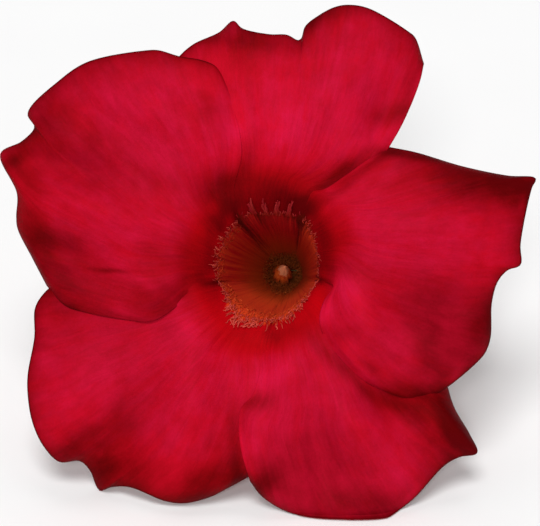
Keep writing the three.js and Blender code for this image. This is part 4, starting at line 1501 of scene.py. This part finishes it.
PETALS = (
    Petal(
        "petal_top", -0.4, UPPER_RIGHT, UPPER_LEFT,
        ((10, 10.6), (13.5, 11.8), (16.5, 15), (19.2, 19.2), (20.8, 22.3), (22.8, 27.3)),
        ((23.4, 30.1), (22.1, 34), (21.1, 34.9), (15.1, 38.4), (12, 38.9), (9.9, 38.5), (7.5, 37.2), (5.7, 35.7),
         (5.1, 33.9), (4.6, 33.6), (2.9, 34.4), (0.3, 34.5), (-3.8, 35.4), (-5.1, 36.5), (-7.2, 34.8), (-11.1, 33),
         (-13.2, 31.2), (-14.6, 29.2)),
        ((-7.5, 12.5), (-10, 17), (-13.2, 24)),
        (Curl(0.06, 0.1, 1.5, 30), Curl(0.36, 0.1, 1, 25), Curl(0.56, 0.06, 2.5, 40), Curl(0.8, 0.1, 4, 50)), 11,
        droops=(0.15, 0.0), painted_light_spots=(Patch(10.6, 13.3, 38, 7, 1.1, -0.36),), edge=(0.6, -0.6, -1.2, -0.6, 0.2),
        warmth=(-0.1, -0.1, -0.2, -0.35), ragged=0.7),
    Petal(
        "petal_left", 0.4, UPPER_LEFT, LEFT,
        ((-4.95, 11.7), (-3.9, 16.1), (-4.05, 19.2), (-4.95, 23)),
        ((-6, 26.9), (-7.65, 29.6), (-9.8, 30.6), (-13.2, 31.2), (-16.3, 32.1), (-18, 32.1), (-27.1, 30.3),
         (-31.9, 27), (-35.4, 23.7), (-35.9, 22.4), (-34.9, 20.8), (-35.1, 20.1), (-36.9, 18.4), (-40, 16.6),
         (-37.5, 10.7), (-37.6, 7.2), (-37.4, 5.4), (-35.2, 1), (-33, -3.2)),
        ((-12, -4.6), (-14.1, -6.7), (-17.4, -8.5), (-21.1, -8.3), (-27.1, -7.2), (-30.3, -6.1)),
        (Curl(0.52, 0.08, 4, 40), Curl(0.66, 0.06, 4, 50), Curl(0.88, 0.12, 4.5, 55)), 23,
        droops=(0.7, 1.35), side_shades=(0.0, 0.2),
        painted_light_spots=(Patch(-15.2, -5.2, -35, 4, 2, -0.08), Patch(-29.5, -6.6, -8, 3, 1, -0.12),
                Patch(-23.5, -5.2, -22, 3, 0.5, 0.1), Patch(-22, -6.8, -20, 3, 0.5, 0.1),
                Patch(-18.2, -2.4, -35, 3, 0.8, 0.12)),
        edge=(-1.3, -1.7, -1.4, -1.7, -1.0), warmth=(0.1, 0.35, 0.4), ragged=1.5),
    Petal(
        "petal_lower_left", -1, LEFT, BOTTOM,
        ((-13, -3.2), (-18, -3), (-24, -2.3)),
        ((-31.5, -2.6), (-33.4, -4.2), (-34.8, -6.5), (-34.9, -10.8), (-35.9, -16.5), (-35.9, -19.5),
         (-35.2, -23.6), (-33.6, -27.1), (-31.2, -29.5), (-28.1, -29.4), (-26.6, -30.8), (-25.1, -33.8),
         (-23.5, -33.3), (-20.7, -33.3), (-15.3, -35.4), (-12.4, -35.7), (-8.7, -34.8), (-5.7, -33.3),
         (-2.9, -31.8), (-1.2, -31)),
        ((1, -15.5), (1.8, -22), (1.2, -28)),
        (Curl(0.48, 0.06, 2.5, 35), Curl(0.6, 0.07, 4, 55), Curl(0.87, 0.12, 4, 50)), 37, droops=(0.0, 0.2),
        painted_light_spots=(Patch(-5.2, -25, 96, 5, 1.3, -0.18), Patch(-4.2, -32, 98, 3, 1.2, -0.33),
                Patch(-12.6, -8.6, -50, 4, 1.5, 0.1)),
        edge=(-1.8, -1.2, 0.8, 0.6, 0.2), warmth=(0.35, 0.95, 1.0, 1.0), ragged=0.9),
    Petal(
        "petal_lower_right", 0, BOTTOM, LOWER_RIGHT,
        ((-1.2, -16), (-2.3, -19.6), (-3.9, -21.4), (-4.3, -24.5), (-3.8, -28.4)),
        ((-2.6, -32.4), (-0.9, -34.6), (2.1, -36.6), (5.1, -37.6), (11.5, -38.1), (17.1, -37.9), (18.3, -37.6),
         (21.8, -35.1), (26.6, -30), (28.8, -28.8), (31.4, -28.2), (30.3, -25.5), (27.9, -21.3), (26.6, -16.9)),
        ((13, -5.5), (19, -11.5), (24, -15.2)),
        (Curl(0.08, 0.1, 2.5, 40), Curl(0.45, 0.2, 2, 30), Curl(0.92, 0.14, 7, 70)), 53,
        droops=(0.8, 0.3), tucks=(0.75, 0.0),
        painted_light_spots=(Patch(12.6, -16.6, -42, 6, 1.3, -0.26), Patch(-1.8, -20.5, 8, 3.2, 1.3, -0.2),
                Patch(-3.7, -28, 98, 4, 0.8, 0.22), Patch(-2, -26.8, 92, 2.6, 1.5, 0.08)),
        edge=(0.3, -0.1, -1.4, -2.5, -2.2), warmth=(1.0, 0.9, 0.75)),
    Petal(
        "petal_right", 1, LOWER_RIGHT, UPPER_RIGHT,
        ((8.5, -5.6), (7.8, -8.3), (8.55, -11), (10.6, -13.7), (13.95, -17)),
        ((17.2, -19), (21, -20.2), (24.7, -19.7), (27, -18.3), (31.6, -14.4), (32.7, -13), (33.4, -10.8),
         (33.6, -5.7), (34.5, -2.5), (36, -0.8), (37.9, 0), (37.9, 3.1), (39.6, 11.5), (40.2, 12.9), (36, 13.3),
         (29.2, 14.7), (22.2, 16.8), (18.2, 17.6)),
        ((8.5, 11.3), (11.6, 13.3), (14.7, 15.5)),
        (Curl(0.09, 0.08, 2.5, 45), Curl(0.3, 0.1, 2.5, 40), Curl(0.84, 0.13, 6, 70)), 71,
        droops=(0.9, 1.2), side_shades=(0.08, 0.0),
        painted_light_spots=(Patch(9.3, -8, 100, 4, 0.9, 0.1), Patch(8.8, -1.2, 20, 1.8, 1.5, -0.06),
                Patch(12.5, -3.8, -60, 4, 1.6, 0.12), Patch(19.5, -10.5, -60, 4, 1.6, 0.04),
                Patch(22, -9, -48, 8, 1.6, -0.11), Patch(16, -12, -65, 4, 2, -0.08),
                Patch(16.5, -6, -30, 4, 1.8, -0.07)),
        edge=(-1.8, -2.2, -1.7, -0.3, 0.9), warmth=(0.85, 0.8, 0.5), ragged=1.1),
)


# ---- the fringe round the throat ---------------------------------------------------------------------------


@dataclass(frozen=True)
class Tuft:
    """A stretch of fringe on one petal, as ranges of its hairs' sizes in millimetres.

    A foot is counted from where the orange ends. With bunches, the hairs stand in bunches at those shares of the
    petal's width, and lean together.
    """

    petal: str
    count: int
    span: tuple[float, float]
    foot: tuple[float, float]
    reach: tuple[float, float]
    girth: tuple[float, float]
    splay: float = 30.0
    rise: float = 12.0
    # paleness: kept low on the top and side petals, partly as painted shade
    paleness: tuple[float, float] = (0.6, 1.0)
    curl: float = 0.7
    bunches: tuple[float, ...] = ()
    bunch_width: float = 0.0

    def stands(self, rng: np.random.Generator) -> list[tuple[float, float]]:
        """Where the hairs stand.

        Args:
            rng: draws the places.

        Returns:
            For each hair, its share of the petal's width, and how far it stands off its bunch's middle, -1 to 1.
        """
        if self.bunches:
            offs = [(middle, rng.uniform(-1, 1)) for middle in self.bunches for _ in range(self.count)]
            return [(middle + off * self.bunch_width, off) for middle, off in offs]
        shares = np.linspace(*self.span, self.count) + rng.normal(0, 0.35 / self.count, self.count)
        return [(float(share), 0.0) for share in np.clip(shares, 0.01, 0.99)]


@dataclass(frozen=True)
class Hairs:
    """Fine hairs that stand on the petals."""

    name: str
    finish: HairFinish
    tufts: tuple[Tuft, ...]
    rings: int = 10
    sides: int = 5
    arch: float = 0.16
    seed: int = 17
    fan: float = 0.16
    root_height: float = 0.12
    shortening: float = 0.45

    def roots(self, sheets: dict[str, Sheet]) -> bpy.types.Object:
        """Sets out where each hair stands.

        Args:
            sheets: each petal's middle surface, by name.

        Returns:
            An object of loose points that carry each hair's directions and sizes.
        """
        rng = np.random.default_rng(self.seed)
        places: list[np.ndarray] = []
        ways: dict[str, list[np.ndarray]] = {"lie": [], "rise": []}
        sizes: dict[str, list[float]] = {"reach": [], "girth": [], "paleness": [], "curl": []}
        for tuft in self.tufts:
            sheet = sheets[tuft.petal]
            for share, off in tuft.stands(rng):
                place, out, round_way, front = sheet.at(share, rng.uniform(*tuft.foot))
                turn = math.radians(rng.normal(0, tuft.splay / 2)) - self.fan * off
                rise = math.radians(rng.uniform(2, tuft.rise))
                flat = out * math.cos(turn) + round_way * math.sin(turn)
                places.append(place + front * self.root_height)
                ways["lie"].append(FLOWER.turn() @ (flat * math.cos(rise) + front * math.sin(rise)))
                ways["rise"].append(FLOWER.turn() @ front)
                sizes["reach"].append(rng.uniform(*tuft.reach) * (1 - self.shortening * off * off) * MM)
                sizes["girth"].append(rng.uniform(*tuft.girth) * MM)
                sizes["paleness"].append(rng.uniform(*tuft.paleness))
                sizes["curl"].append(tuft.curl)
        mesh = bpy.data.meshes.new("fringe_roots")
        mesh.from_pydata(FLOWER.place(places), [], [])
        for key, rows in ways.items():
            mesh.attributes.new(key, "FLOAT_VECTOR", "POINT").data.foreach_set("vector", np.ravel(rows))
        for key, values in sizes.items():
            mesh.attributes.new(key, "FLOAT", "POINT").data.foreach_set("value", np.ravel(values))
        return link_object(self.name, mesh)

    def recipe(self) -> Recipe:
        """The tree that grows a curly, tapering hair from each point.

        Returns:
            The recipe.
        """
        tree = Recipe(self.name + "_hairs")
        rings, sides = tree.input("Rings", "Int"), tree.input("Sides", "Int")
        arch = tree.input("Arch")
        seed, finish = tree.input("Seed", "Int"), tree.input("Finish", "Material")
        line = tree.step("GeometryNodeCurvePrimitiveLine", {"End": (1, 0, 0)})
        line = tree.step("GeometryNodeResampleCurve", {"Curve": line, "Count": rings})
        factor = tree.step("GeometryNodeSplineParameter", {}, "Factor")
        line = tree.store(line, "tip_share", factor)
        turn = tree.step("FunctionNodeAlignRotationToVector", {"Vector": tree.carried("lie", "FLOAT_VECTOR")},
                         axis="X")
        turn = tree.step("FunctionNodeAlignRotationToVector",
                         {"Rotation": turn, "Vector": tree.carried("rise", "FLOAT_VECTOR")},
                         axis="Z", pivot_axis="X")
        reach, share = tree.carried("reach"), tree.carried("tip_share")
        hairs = tree.step("GeometryNodeInstanceOnPoints",
                          {"Points": tree.geometry, "Instance": line, "Rotation": turn, "Scale": reach})
        hairs = tree.step("GeometryNodeRealizeInstances", {"Geometry": hairs})
        index = tree.step("GeometryNodeCurveOfPoint", {}, "Curve Index")
        each = tree.step("FunctionNodeRandomValue", {2: 0.0, 3: 60.0, "ID": index, "Seed": seed}, 1,
                         data_type="FLOAT")
        cloud = tree.step("ShaderNodeTexNoise", {"W": each, "Scale": 900.0, "Detail": 1.0}, "Color",
                          noise_dimensions="4D")
        swing = tree.vector("SUBTRACT", cloud, (0.5, 0.5, 0.5))
        curl = tree.number("MULTIPLY", tree.number("POWER", share, 1.3), tree.carried("curl"))
        amount = tree.number("MULTIPLY", curl, reach)
        swing = tree.vector("SCALE", swing, scale=tree.number("MULTIPLY", amount, 2.0))
        sunk = tree.step("ShaderNodeVectorMath", {0: swing, 1: tree.carried("rise", "FLOAT_VECTOR")}, "Value",
                         operation="DOT_PRODUCT")
        sunk = tree.number("MINIMUM", sunk, 0.0)
        sunk = tree.vector("SCALE", tree.carried("rise", "FLOAT_VECTOR"), scale=sunk)
        swing = tree.vector("SUBTRACT", swing, sunk)
        bow = tree.number("MULTIPLY", tree.number("SUBTRACT", share, tree.number("POWER", share, 2.0)), arch)
        bow = tree.number("MULTIPLY", bow, reach)
        lift = tree.vector("SCALE", tree.carried("rise", "FLOAT_VECTOR"), scale=bow)
        moved = tree.vector("ADD", swing, lift)
        hairs = tree.step("GeometryNodeSetPosition", {"Geometry": hairs, "Offset": moved})
        section = tree.step("GeometryNodeCurvePrimitiveCircle", {"Resolution": sides, "Radius": 1.0})
        taper = tree.number("SUBTRACT", 1.0, tree.number("MULTIPLY", tree.number("POWER", share, 2.0), 0.6))
        hairs = tree.step("GeometryNodeCurveToMesh", {
            "Curve": hairs, "Profile Curve": section, "Fill Caps": True,
            "Scale": tree.number("MULTIPLY", tree.carried("girth"), taper)})
        return tree.finish(hairs, finish)

    def build(self, sheets: dict[str, Sheet]) -> bpy.types.Object:
        """Grows the hairs.

        Args:
            sheets: each petal's middle surface, by name.

        Returns:
            The finished piece.
        """
        values = {"Rings": self.rings, "Sides": self.sides, "Arch": self.arch, "Seed": self.seed,
                  "Finish": self.finish.material()}
        return self.recipe().bake(self.roots(sheets), values)


FRINGE = Hairs("throat_fringe", HairFinish(), (
    Tuft("petal_lower_left", 30, (0.04, 0.30), (-1.5, 0.0), (0.7, 1.3), (0.07, 0.11), 34, 14, (0.3, 0.8), 0.7),
    Tuft("petal_lower_left", 84, (0.28, 0.95), (-1.7, 0.2), (0.8, 1.7), (0.07, 0.12), 40, 14, (0.3, 1.0), 0.8),
    Tuft("petal_lower_left", 8, (0, 1), (-0.9, 0.1), (1.3, 2.2), (0.08, 0.13), 24, 14, (0.7, 1.0), 0.8,
         (0.40, 0.50, 0.60, 0.70, 0.80), 0.03),
    Tuft("petal_lower_right", 64, (0.05, 0.60), (-1.5, 0.3), (0.8, 1.6), (0.07, 0.12), 38, 14, (0.3, 1.0), 0.8),
    Tuft("petal_lower_right", 30, (0.50, 0.97), (-0.8, 0.2), (0.6, 1.2), (0.08, 0.13), 34, 12, (0.5, 0.9)),
    Tuft("petal_right", 60, (0.06, 0.94), (-1.0, 0.2), (0.5, 1.2), (0.06, 0.11), 30, 12, (0.2, 0.55), 0.6),
    Tuft("petal_top", 24, (0.06, 0.95), (-0.8, 0.0), (0.5, 1.1), (0.10, 0.15), 22, 10, (0.0, 0.3), 0.4),
    Tuft("petal_top", 12, (0, 1), (-0.7, 0.3), (2.2, 4.1), (0.15, 0.24), 8, 5, (0.0, 0.16), 0.12,
         (0.22, 0.39, 0.54, 0.735), 0.036),
    Tuft("petal_left", 80, (0.05, 0.96), (-1.0, 0.2), (0.5, 1.4), (0.06, 0.11), 30, 12, (0.15, 0.55), 0.6),
    Tuft("petal_left", 5, (0, 1), (-0.5, 0.2), (1.0, 1.8), (0.06, 0.10), 12, 10, (0.6, 1.0), 0.2,
         (0.12, 0.36, 0.52, 0.75), 0.012),
))
WALL_HAIRS = Hairs("throat_wall_hairs", WALL_HAIR_FINISH, (
    Tuft("petal_lower_left", 130, (0.06, 0.97), (-5.2, -0.9), (0.8, 1.6), (0.05, 0.09), 26, 9, (0.4, 1.0), 0.5),
    Tuft("petal_lower_right", 80, (0.03, 0.70), (-3.8, -0.9), (0.7, 1.4), (0.05, 0.09), 26, 9, (0.4, 0.9), 0.5),
    Tuft("petal_left", 60, (0.05, 0.97), (-3.4, -0.6), (0.6, 1.3), (0.05, 0.08), 22, 8, (0.0, 0.5), 0.5),
), seed=23)
DOWN = Hairs("throat_down", DOWN_FINISH, tuple(
    Tuft(f"petal_{side}", count, (0.02, 0.98), feet, reach, (0.03, 0.05), 60, 80, (0.0, 1.0), 0.5)
    for side in ("top", "left", "lower_left", "lower_right", "right")
    for count, feet, reach in ((110, (-29.0, -23.5), (0.5, 1.0)), (120, (-30.5, -27.5), (1.0, 1.8)))),
    rings=7, sides=4, seed=29)


# ---- tube, stamens, pistil, calyx and stalk ----------------------------------------------------------------


def ringed_faces(rings: int, sides: int, capped: bool) -> list[tuple[int, ...]]:
    """Faces of a tube of rings.

    Args:
        rings: how many rings there are.
        sides: points round each ring.
        capped: whether a cap closes each end. If not, the last ring joins the first.

    Returns:
        The faces.
    """
    faces = []
    for i in range(rings - 1 if capped else rings):
        for k in range(sides):
            a, b = i * sides + k, i * sides + (k + 1) % sides
            c, d = (a + sides) % (rings * sides), (b + sides) % (rings * sides)
            faces.append((a, b, d, c))
    if capped:
        faces.append(tuple(range(sides - 1, -1, -1)))
        faces.append(tuple(range((rings - 1) * sides, rings * sides)))
    return faces


@dataclass(frozen=True)
class Turned:
    """A piece turned about the tube's leaning axis, with soft ribs."""

    name: str
    profile: Points
    sides: int = 72
    steps: int = 80
    capped: bool = True
    ribs: int = 5
    rib_height: float = 0.03
    rib_turn: float = 55.0

    def build(self, material: bpy.types.Material) -> bpy.types.Object:
        """Makes the piece.

        Args:
            material: the surface.

        Returns:
            The finished object.
        """
        share = np.linspace(0, 1, self.steps, endpoint=self.capped)
        radius, depth = smooth_path(self.profile if self.capped else (*self.profile, self.profile[0]), share).T
        turn = np.linspace(0, 2 * math.pi, self.sides, endpoint=False)
        ribs = np.cos(self.ribs * (turn - math.radians(self.rib_turn)))[None]
        reach = np.maximum(radius, 0.02)[:, None] * (1 + self.rib_height * ribs)
        depths = np.broadcast_to(depth[:, None], reach.shape)
        grid = np.stack([reach * np.cos(turn), reach * np.sin(turn), depths], axis=-1)
        uv = np.stack(np.broadcast_arrays(turn[None] / (2 * math.pi), share[:, None]), axis=-1).reshape(-1, 2)
        places = FLOWER.place(FLOWER.leaning(grid)).reshape(-1, 3)
        faces = ringed_faces(self.steps, self.sides, self.capped)
        return link_object(self.name, make_mesh(self.name, places, faces, uv,
                                                {"along": np.repeat(share, self.sides)}, material))


def blade(path: Points, half_width: Points, half_thickness: Points, steps: int, sides: int, crease: float = 0.0,
          wrapped: bool = False) -> tuple[np.ndarray, list[tuple[int, ...]], np.ndarray, np.ndarray]:
    """A leaf-like solid that stands beside the tube's axis, on the side towards +x.

    Args:
        path: its middle line, as (distance from the axis, depth) pairs.
        half_width: half its width, as (share of the way along, millimetres) pairs.
        half_thickness: half its thickness, in the same way.
        steps: rings along it.
        sides: points round each ring.
        crease: how deep a furrow runs along the middle of both faces, as a share of its thickness.
        wrapped: whether it wraps round the axis as far as its width reaches.

    Returns:
        Its points, faces, UVs, and share of the way along of each point.
    """
    share = np.linspace(0, 1, steps)
    line = smooth_path(path, share)
    tangent = np.gradient(line, axis=0)
    tangent /= np.linalg.norm(tangent, axis=1, keepdims=True)
    turn = np.linspace(0, 2 * math.pi, sides, endpoint=False)
    width = np.interp(share, *np.array(half_width).T)[:, None] * np.cos(turn)
    furrow = 1 - crease * np.exp(-((np.cos(turn) / 0.35) ** 2))
    thick = np.interp(share, *np.array(half_thickness).T)[:, None] * np.sin(turn) * furrow
    x = line[:, :1] - thick * tangent[:, 1:]
    depth = line[:, 1:] + thick * tangent[:, :1]
    y = width
    if wrapped:
        x, y = x * np.cos(y / x), x * np.sin(y / x)
    grid = np.stack(np.broadcast_arrays(x, y, depth), axis=-1)
    uv = np.stack(np.broadcast_arrays(turn[None] / (2 * math.pi), share[:, None]), axis=-1).reshape(-1, 2)
    return grid.reshape(-1, 3), ringed_faces(steps, sides, True), uv, np.repeat(share, sides)


@dataclass(frozen=True)
class Whorl:
    """Like parts that stand in a ring round the tube: the stamens, or the calyx's sepals."""

    part: str
    path: Points
    half_width: Points
    half_thickness: Points
    first_turn: float
    crease: float = 0.0
    wrapped: bool = False
    flutter: float = 0.1
    bow: tuple[float, float] = (0.0, 0.0)
    tip_shift: tuple[float, float] = (0.0, 0.0)
    count: int = 5
    steps: int = 64
    sides: int = 24
    seed: int = 3

    def recipe(self) -> Recipe:
        """The tree that turns one part to its place in the ring and gives it a sway of its own.

        Returns:
            The recipe.
        """
        tree = Recipe(self.part + "_in_ring")
        turn, flutter, seed = tree.input("Turn"), tree.input("Flutter"), tree.input("Seed")
        lean, ring = tree.input("Lean", "Vector"), tree.input("Ring Depth")
        bow, tip_shift = tree.input("Bow", "Vector"), tree.input("Tip Shift", "Vector")
        tilt, mouth, scale = tree.input("Tilt"), tree.input("Mouth", "Vector"), tree.input("Scale")
        finish = tree.input("Finish", "Material")
        place = tree.step("GeometryNodeInputPosition", {})
        turned = tree.step("ShaderNodeVectorRotate", {"Vector": place, "Angle": turn}, rotation_type="Z_AXIS")
        part = tree.step("GeometryNodeSetPosition", {"Geometry": tree.geometry, "Position": turned})
        cloud = tree.step("ShaderNodeTexNoise", {"W": seed, "Scale": 0.45, "Detail": 2.0}, "Color",
                          noise_dimensions="4D")
        sway = tree.vector("SCALE", tree.vector("SUBTRACT", cloud, (0.5, 0.5, 0.5)),
                           scale=tree.number("MULTIPLY", flutter, tree.carried("along")))
        part = tree.step("GeometryNodeSetPosition", {"Geometry": part, "Offset": sway})
        share = tree.carried("along")
        square = tree.number("MULTIPLY", share, share)
        bulge = tree.number("MULTIPLY", tree.number("SUBTRACT", share, square), 4.0)
        bowed, shifted = tree.vector("SCALE", bow, scale=bulge), tree.vector("SCALE", tip_shift, scale=square)
        bent = tree.vector("ADD", bowed, shifted)
        part = tree.step("GeometryNodeSetPosition", {"Geometry": part, "Offset": bent})
        depth = tree.step("ShaderNodeSeparateXYZ", {"Vector": place}, "Z")
        drop = tree.number("MAXIMUM", tree.number("SUBTRACT", ring, depth), 0.0)
        part = tree.step("GeometryNodeSetPosition",
                         {"Geometry": part, "Offset": tree.vector("SCALE", lean, scale=drop)})
        turned = tree.step("ShaderNodeVectorRotate", {"Vector": place, "Angle": tilt}, rotation_type="X_AXIS")
        world = tree.vector("ADD", tree.vector("SCALE", turned, scale=scale), mouth)
        part = tree.step("GeometryNodeSetPosition", {"Geometry": part, "Position": world})
        return tree.finish(part, finish)

    def build(self, material: bpy.types.Material) -> list[bpy.types.Object]:
        """Makes every part of the ring.

        Args:
            material: the surface.

        Returns:
            The finished objects, anticlockwise from the first turn.
        """
        tree = self.recipe()
        pieces = []
        for k in range(self.count):
            places, faces, uv, along = blade(self.path, self.half_width, self.half_thickness, self.steps,
                                             self.sides, self.crease, self.wrapped)
            name = f"{self.part}_piece_{k + 1}"
            host = link_object(name, make_mesh(name, places, faces, uv, {"along": along}, material))
            values = {"Turn": math.radians(self.first_turn + 360 / self.count * k), "Flutter": self.flutter,
                      "Seed": float(self.seed + 5 * k), "Lean": (*FLOWER.lean, 0.0),
                      "Ring Depth": FLOWER.ring_depth, "Bow": (*self.bow, 0.0),
                      "Tip Shift": (*self.tip_shift, 0.0), "Tilt": math.radians(90 - FLOWER.face_elevation),
                      "Mouth": tuple(FLOWER.mouth()), "Scale": MM, "Finish": material}
            pieces.append(tree.bake(host, values))
        return pieces


@dataclass(frozen=True)
class Stalk:
    """The short stalk, cut off square."""

    path: tuple[Triple, ...] = (
        (0, 0, -60), (0.3, 0.3, -55), (0.2, 0.2, -51), (0, 0, -47.4), (0, 0, -46.6))
    girth: Points = ((0, 0.98), (0.5, 0.94), (0.8, 0.98), (0.93, 1.1), (1, 1.5))
    sides: int = 40
    steps: int = 90
    cut_rings: int = 10
    rib_height: float = 0.035
    seed: int = 91

    def build(self, material: bpy.types.Material) -> bpy.types.Object:
        """Makes the stalk.

        Args:
            material: the surface.

        Returns:
            The finished object.
        """
        share = np.linspace(0, 1, self.steps)
        line = smooth_path(self.path, share)
        turn = np.linspace(0, 2 * math.pi, self.sides, endpoint=False)
        noise = GentleNoise(self.seed)
        ribs = noise(np.cos(turn)[None] * 2.2 + 9, np.sin(turn)[None] * 2.2 + 9 + share[:, None] * 2)
        ribs = 1 + self.rib_height * ribs
        reach = np.interp(share, *np.array(self.girth).T)[:, None] * ribs
        cut = np.linspace(0.05, 0.97, self.cut_rings)[:, None]
        dish = 0.12 * smooth_step(0, 0.9, 1 - cut) - 0.05
        flat = (line[0, 0] + reach[:1] * cut * np.cos(turn), line[0, 1] + reach[:1] * cut * np.sin(turn),
                line[0, 2] + dish)
        side = (line[:, :1] + reach * np.cos(turn), line[:, 1:2] + reach * np.sin(turn), line[:, 2:])
        grid = np.concatenate([np.stack(np.broadcast_arrays(*part), axis=-1) for part in (flat, side)])
        grid = FLOWER.leaning(grid)
        along = np.concatenate([np.zeros(self.cut_rings), share])
        sawn = np.concatenate([np.ones(self.cut_rings), np.zeros(self.steps)])
        uv = np.stack(np.broadcast_arrays(turn[None] / (2 * math.pi), along[:, None]), axis=-1).reshape(-1, 2)
        attributes = {"along": np.repeat(along, self.sides), "cut": np.repeat(sawn, self.sides)}
        places, faces = FLOWER.place(grid).reshape(-1, 3), ringed_faces(len(grid), self.sides, True)
        return link_object("cut_stalk", make_mesh("cut_stalk", places, faces, uv, attributes, material))


TUBE = Turned("corolla_foot", (
    (1.95, -45.2), (2.2, -42), (2.45, -36), (2.75, -32), (3.02, -29.8), (3.34, -27.3), (3.33, -27.2),
    (3.29, -27.3), (2.98, -29.6), (2.86, -30.3), (2.6, -30.9), (2.05, -36), (1.75, -42), (1.5, -45),
    (1.7, -45.3)), steps=150, capped=False)
PISTIL = Turned("pistil_inside", (
    (0.05, -44.9), (0.75, -44.8), (1.15, -43.8), (1.1, -42.2), (0.7, -40.8), (0.32, -40), (0.3, -30.2),
    (0.75, -29.4), (0.8, -28.6), (0.55, -27.6), (0.05, -27.2)), sides=40)
RECEPTACLE = Turned("calyx_base", (
    (0.05, -47.1), (1.2, -47.0), (1.85, -46.6), (2.0, -46.1), (1.8, -45.6), (1.1, -45.35), (0.05, -45.3)),
    steps=50, rib_height=0.05)
STAMENS = Whorl("stamen", (
    (1.35, -35.5), (1.4, -32.5), (1.25, -30), (0.98, -27), (0.05, -22.9)),
    ((0, 0.2), (0.38, 0.22), (0.5, 0.64), (0.72, 0.68), (0.9, 0.44), (1, 0.06)),
    ((0, 0.18), (0.38, 0.2), (0.5, 0.42), (0.72, 0.42), (0.9, 0.28), (1, 0.06)), 72, crease=0.35, flutter=0.12,
    bow=(-0.52, -0.42), tip_shift=(0.60, 0.85))
CALYX = Whorl("sepal", (
    (2.3, -46.2), (2.6, -44), (2.92, -41), (3.55, -37.9)),
    ((0, 1.2), (0.2, 1.42), (0.45, 1.36), (0.7, 0.98), (0.88, 0.5), (1, 0.06)),
    ((0, 0.26), (0.5, 0.18), (1, 0.06)), 54, crease=-0.5, wrapped=True, flutter=0.7)


# ---- the studio --------------------------------------------------------------------------------------------


@dataclass(frozen=True)
class Sun:
    """One soft, even light.

    It stands at degrees above the surface and degrees round from the front to the right, and has a strength and
    a softness, the degrees that it spans in the sky.
    """

    name: str
    elevation: float
    azimuth: float
    strength: float
    softness: float

    def build(self) -> None:
        """Makes the light."""
        data = bpy.data.lights.new(self.name, "SUN")
        data.energy = self.strength
        data.angle = math.radians(self.softness)
        light = bpy.data.objects.new(self.name, data)
        up, turn = math.radians(self.elevation), math.radians(self.azimuth)
        way = Vector((math.sin(turn) * math.cos(up), -math.cos(turn) * math.cos(up), math.sin(up)))
        light.rotation_euler = way.to_track_quat("Z", "Y").to_euler()
        bpy.context.scene.collection.objects.link(light)


@dataclass(frozen=True)
class Studio:
    """A pale surface, soft light from above and a camera that looks straight into the flower's face."""

    distance: float = 500.0
    width_seen: float = 80.7
    aim: tuple[float, float] = (0.38, 0.25)
    sensor: float = 36.0
    floor_reach: float = 4.0
    sky: float = 0.22
    suns: tuple[Sun, ...] = (Sun("key", 60, -10, 1.8, 24), Sun("front", 33, -4, 1.1, 10),
                             Sun("back", 72, 180, 0.5, 30))

    def camera(self) -> None:
        """Makes the camera."""
        data = bpy.data.cameras.new("camera")
        data.sensor_width = self.sensor
        data.lens = self.sensor * self.distance / self.width_seen
        data.clip_start, data.clip_end = 0.01, 20
        eye = bpy.data.objects.new("camera", data)
        eye.location = Vector(FLOWER.place([*self.aim, self.distance]))
        look = Vector(FLOWER.place([*self.aim, 0])) - eye.location
        eye.rotation_euler = look.to_track_quat("-Z", "Y").to_euler()
        bpy.context.scene.collection.objects.link(eye)
        bpy.context.scene.camera = eye

    def floor(self) -> None:
        """Makes the pale surface."""
        mesh = bpy.data.meshes.new("floor")
        reach = self.floor_reach
        corners = [(-reach, -reach, 0), (reach, -reach, 0), (reach, reach, 0), (-reach, reach, 0)]
        mesh.from_pydata(corners, [], [(0, 1, 2, 3)])
        mesh.materials.append(PaperFinish().material())
        floor = bpy.data.objects.new("floor", mesh)
        bpy.context.scene.collection.objects.link(floor)

    def build(self) -> None:
        """Makes the whole studio."""
        self.floor()
        for sun in self.suns:
            sun.build()
        world = bpy.data.worlds.new("studio")
        world.use_nodes = True
        world.node_tree.nodes["Background"].inputs["Color"].default_value = (1, 1, 1, 1)
        world.node_tree.nodes["Background"].inputs["Strength"].default_value = self.sky
        bpy.context.scene.world = world
        bpy.context.scene.view_settings.view_transform = "Standard"
        self.camera()


def main() -> None:
    """Builds every piece, the studio and the camera."""
    logging.basicConfig(level=logging.INFO, format="%(name)s: %(message)s")
    velvet, face = PetalFinish().material(), Face()
    sheets = {petal.name: petal.sheet(face) for petal in PETALS}
    for petal in PETALS:
        attach(petal.build(sheets[petal.name], face, velvet), Slot.PETAL, petal.name)
    attach(FRINGE.build(sheets), Slot.PETAL)
    attach(WALL_HAIRS.build(sheets), Slot.PETAL)
    attach(DOWN.build(sheets), Slot.PETAL)
    attach(TUBE.build(TubeFinish().material()), Slot.TUBE, "corolla_tube")
    for k, stamen in enumerate(STAMENS.build(AntherFinish().material())):
        attach(stamen, Slot.ANTHER, f"stamen_{k + 1}")
    attach(PISTIL.build(PISTIL_FINISH.material()), Slot.PISTIL, "pistil")
    calyx_skin = CALYX_FINISH.material()
    attach(RECEPTACLE.build(calyx_skin), Slot.CALYX, "receptacle")
    for k, sepal in enumerate(CALYX.build(calyx_skin)):
        attach(sepal, Slot.CALYX, f"sepal_{k + 1}")
    attach(Stalk().build(STALK_FINISH.material()), Slot.STALK, "pedicel")
    Studio().build()


if __name__ == "__main__":
    main()
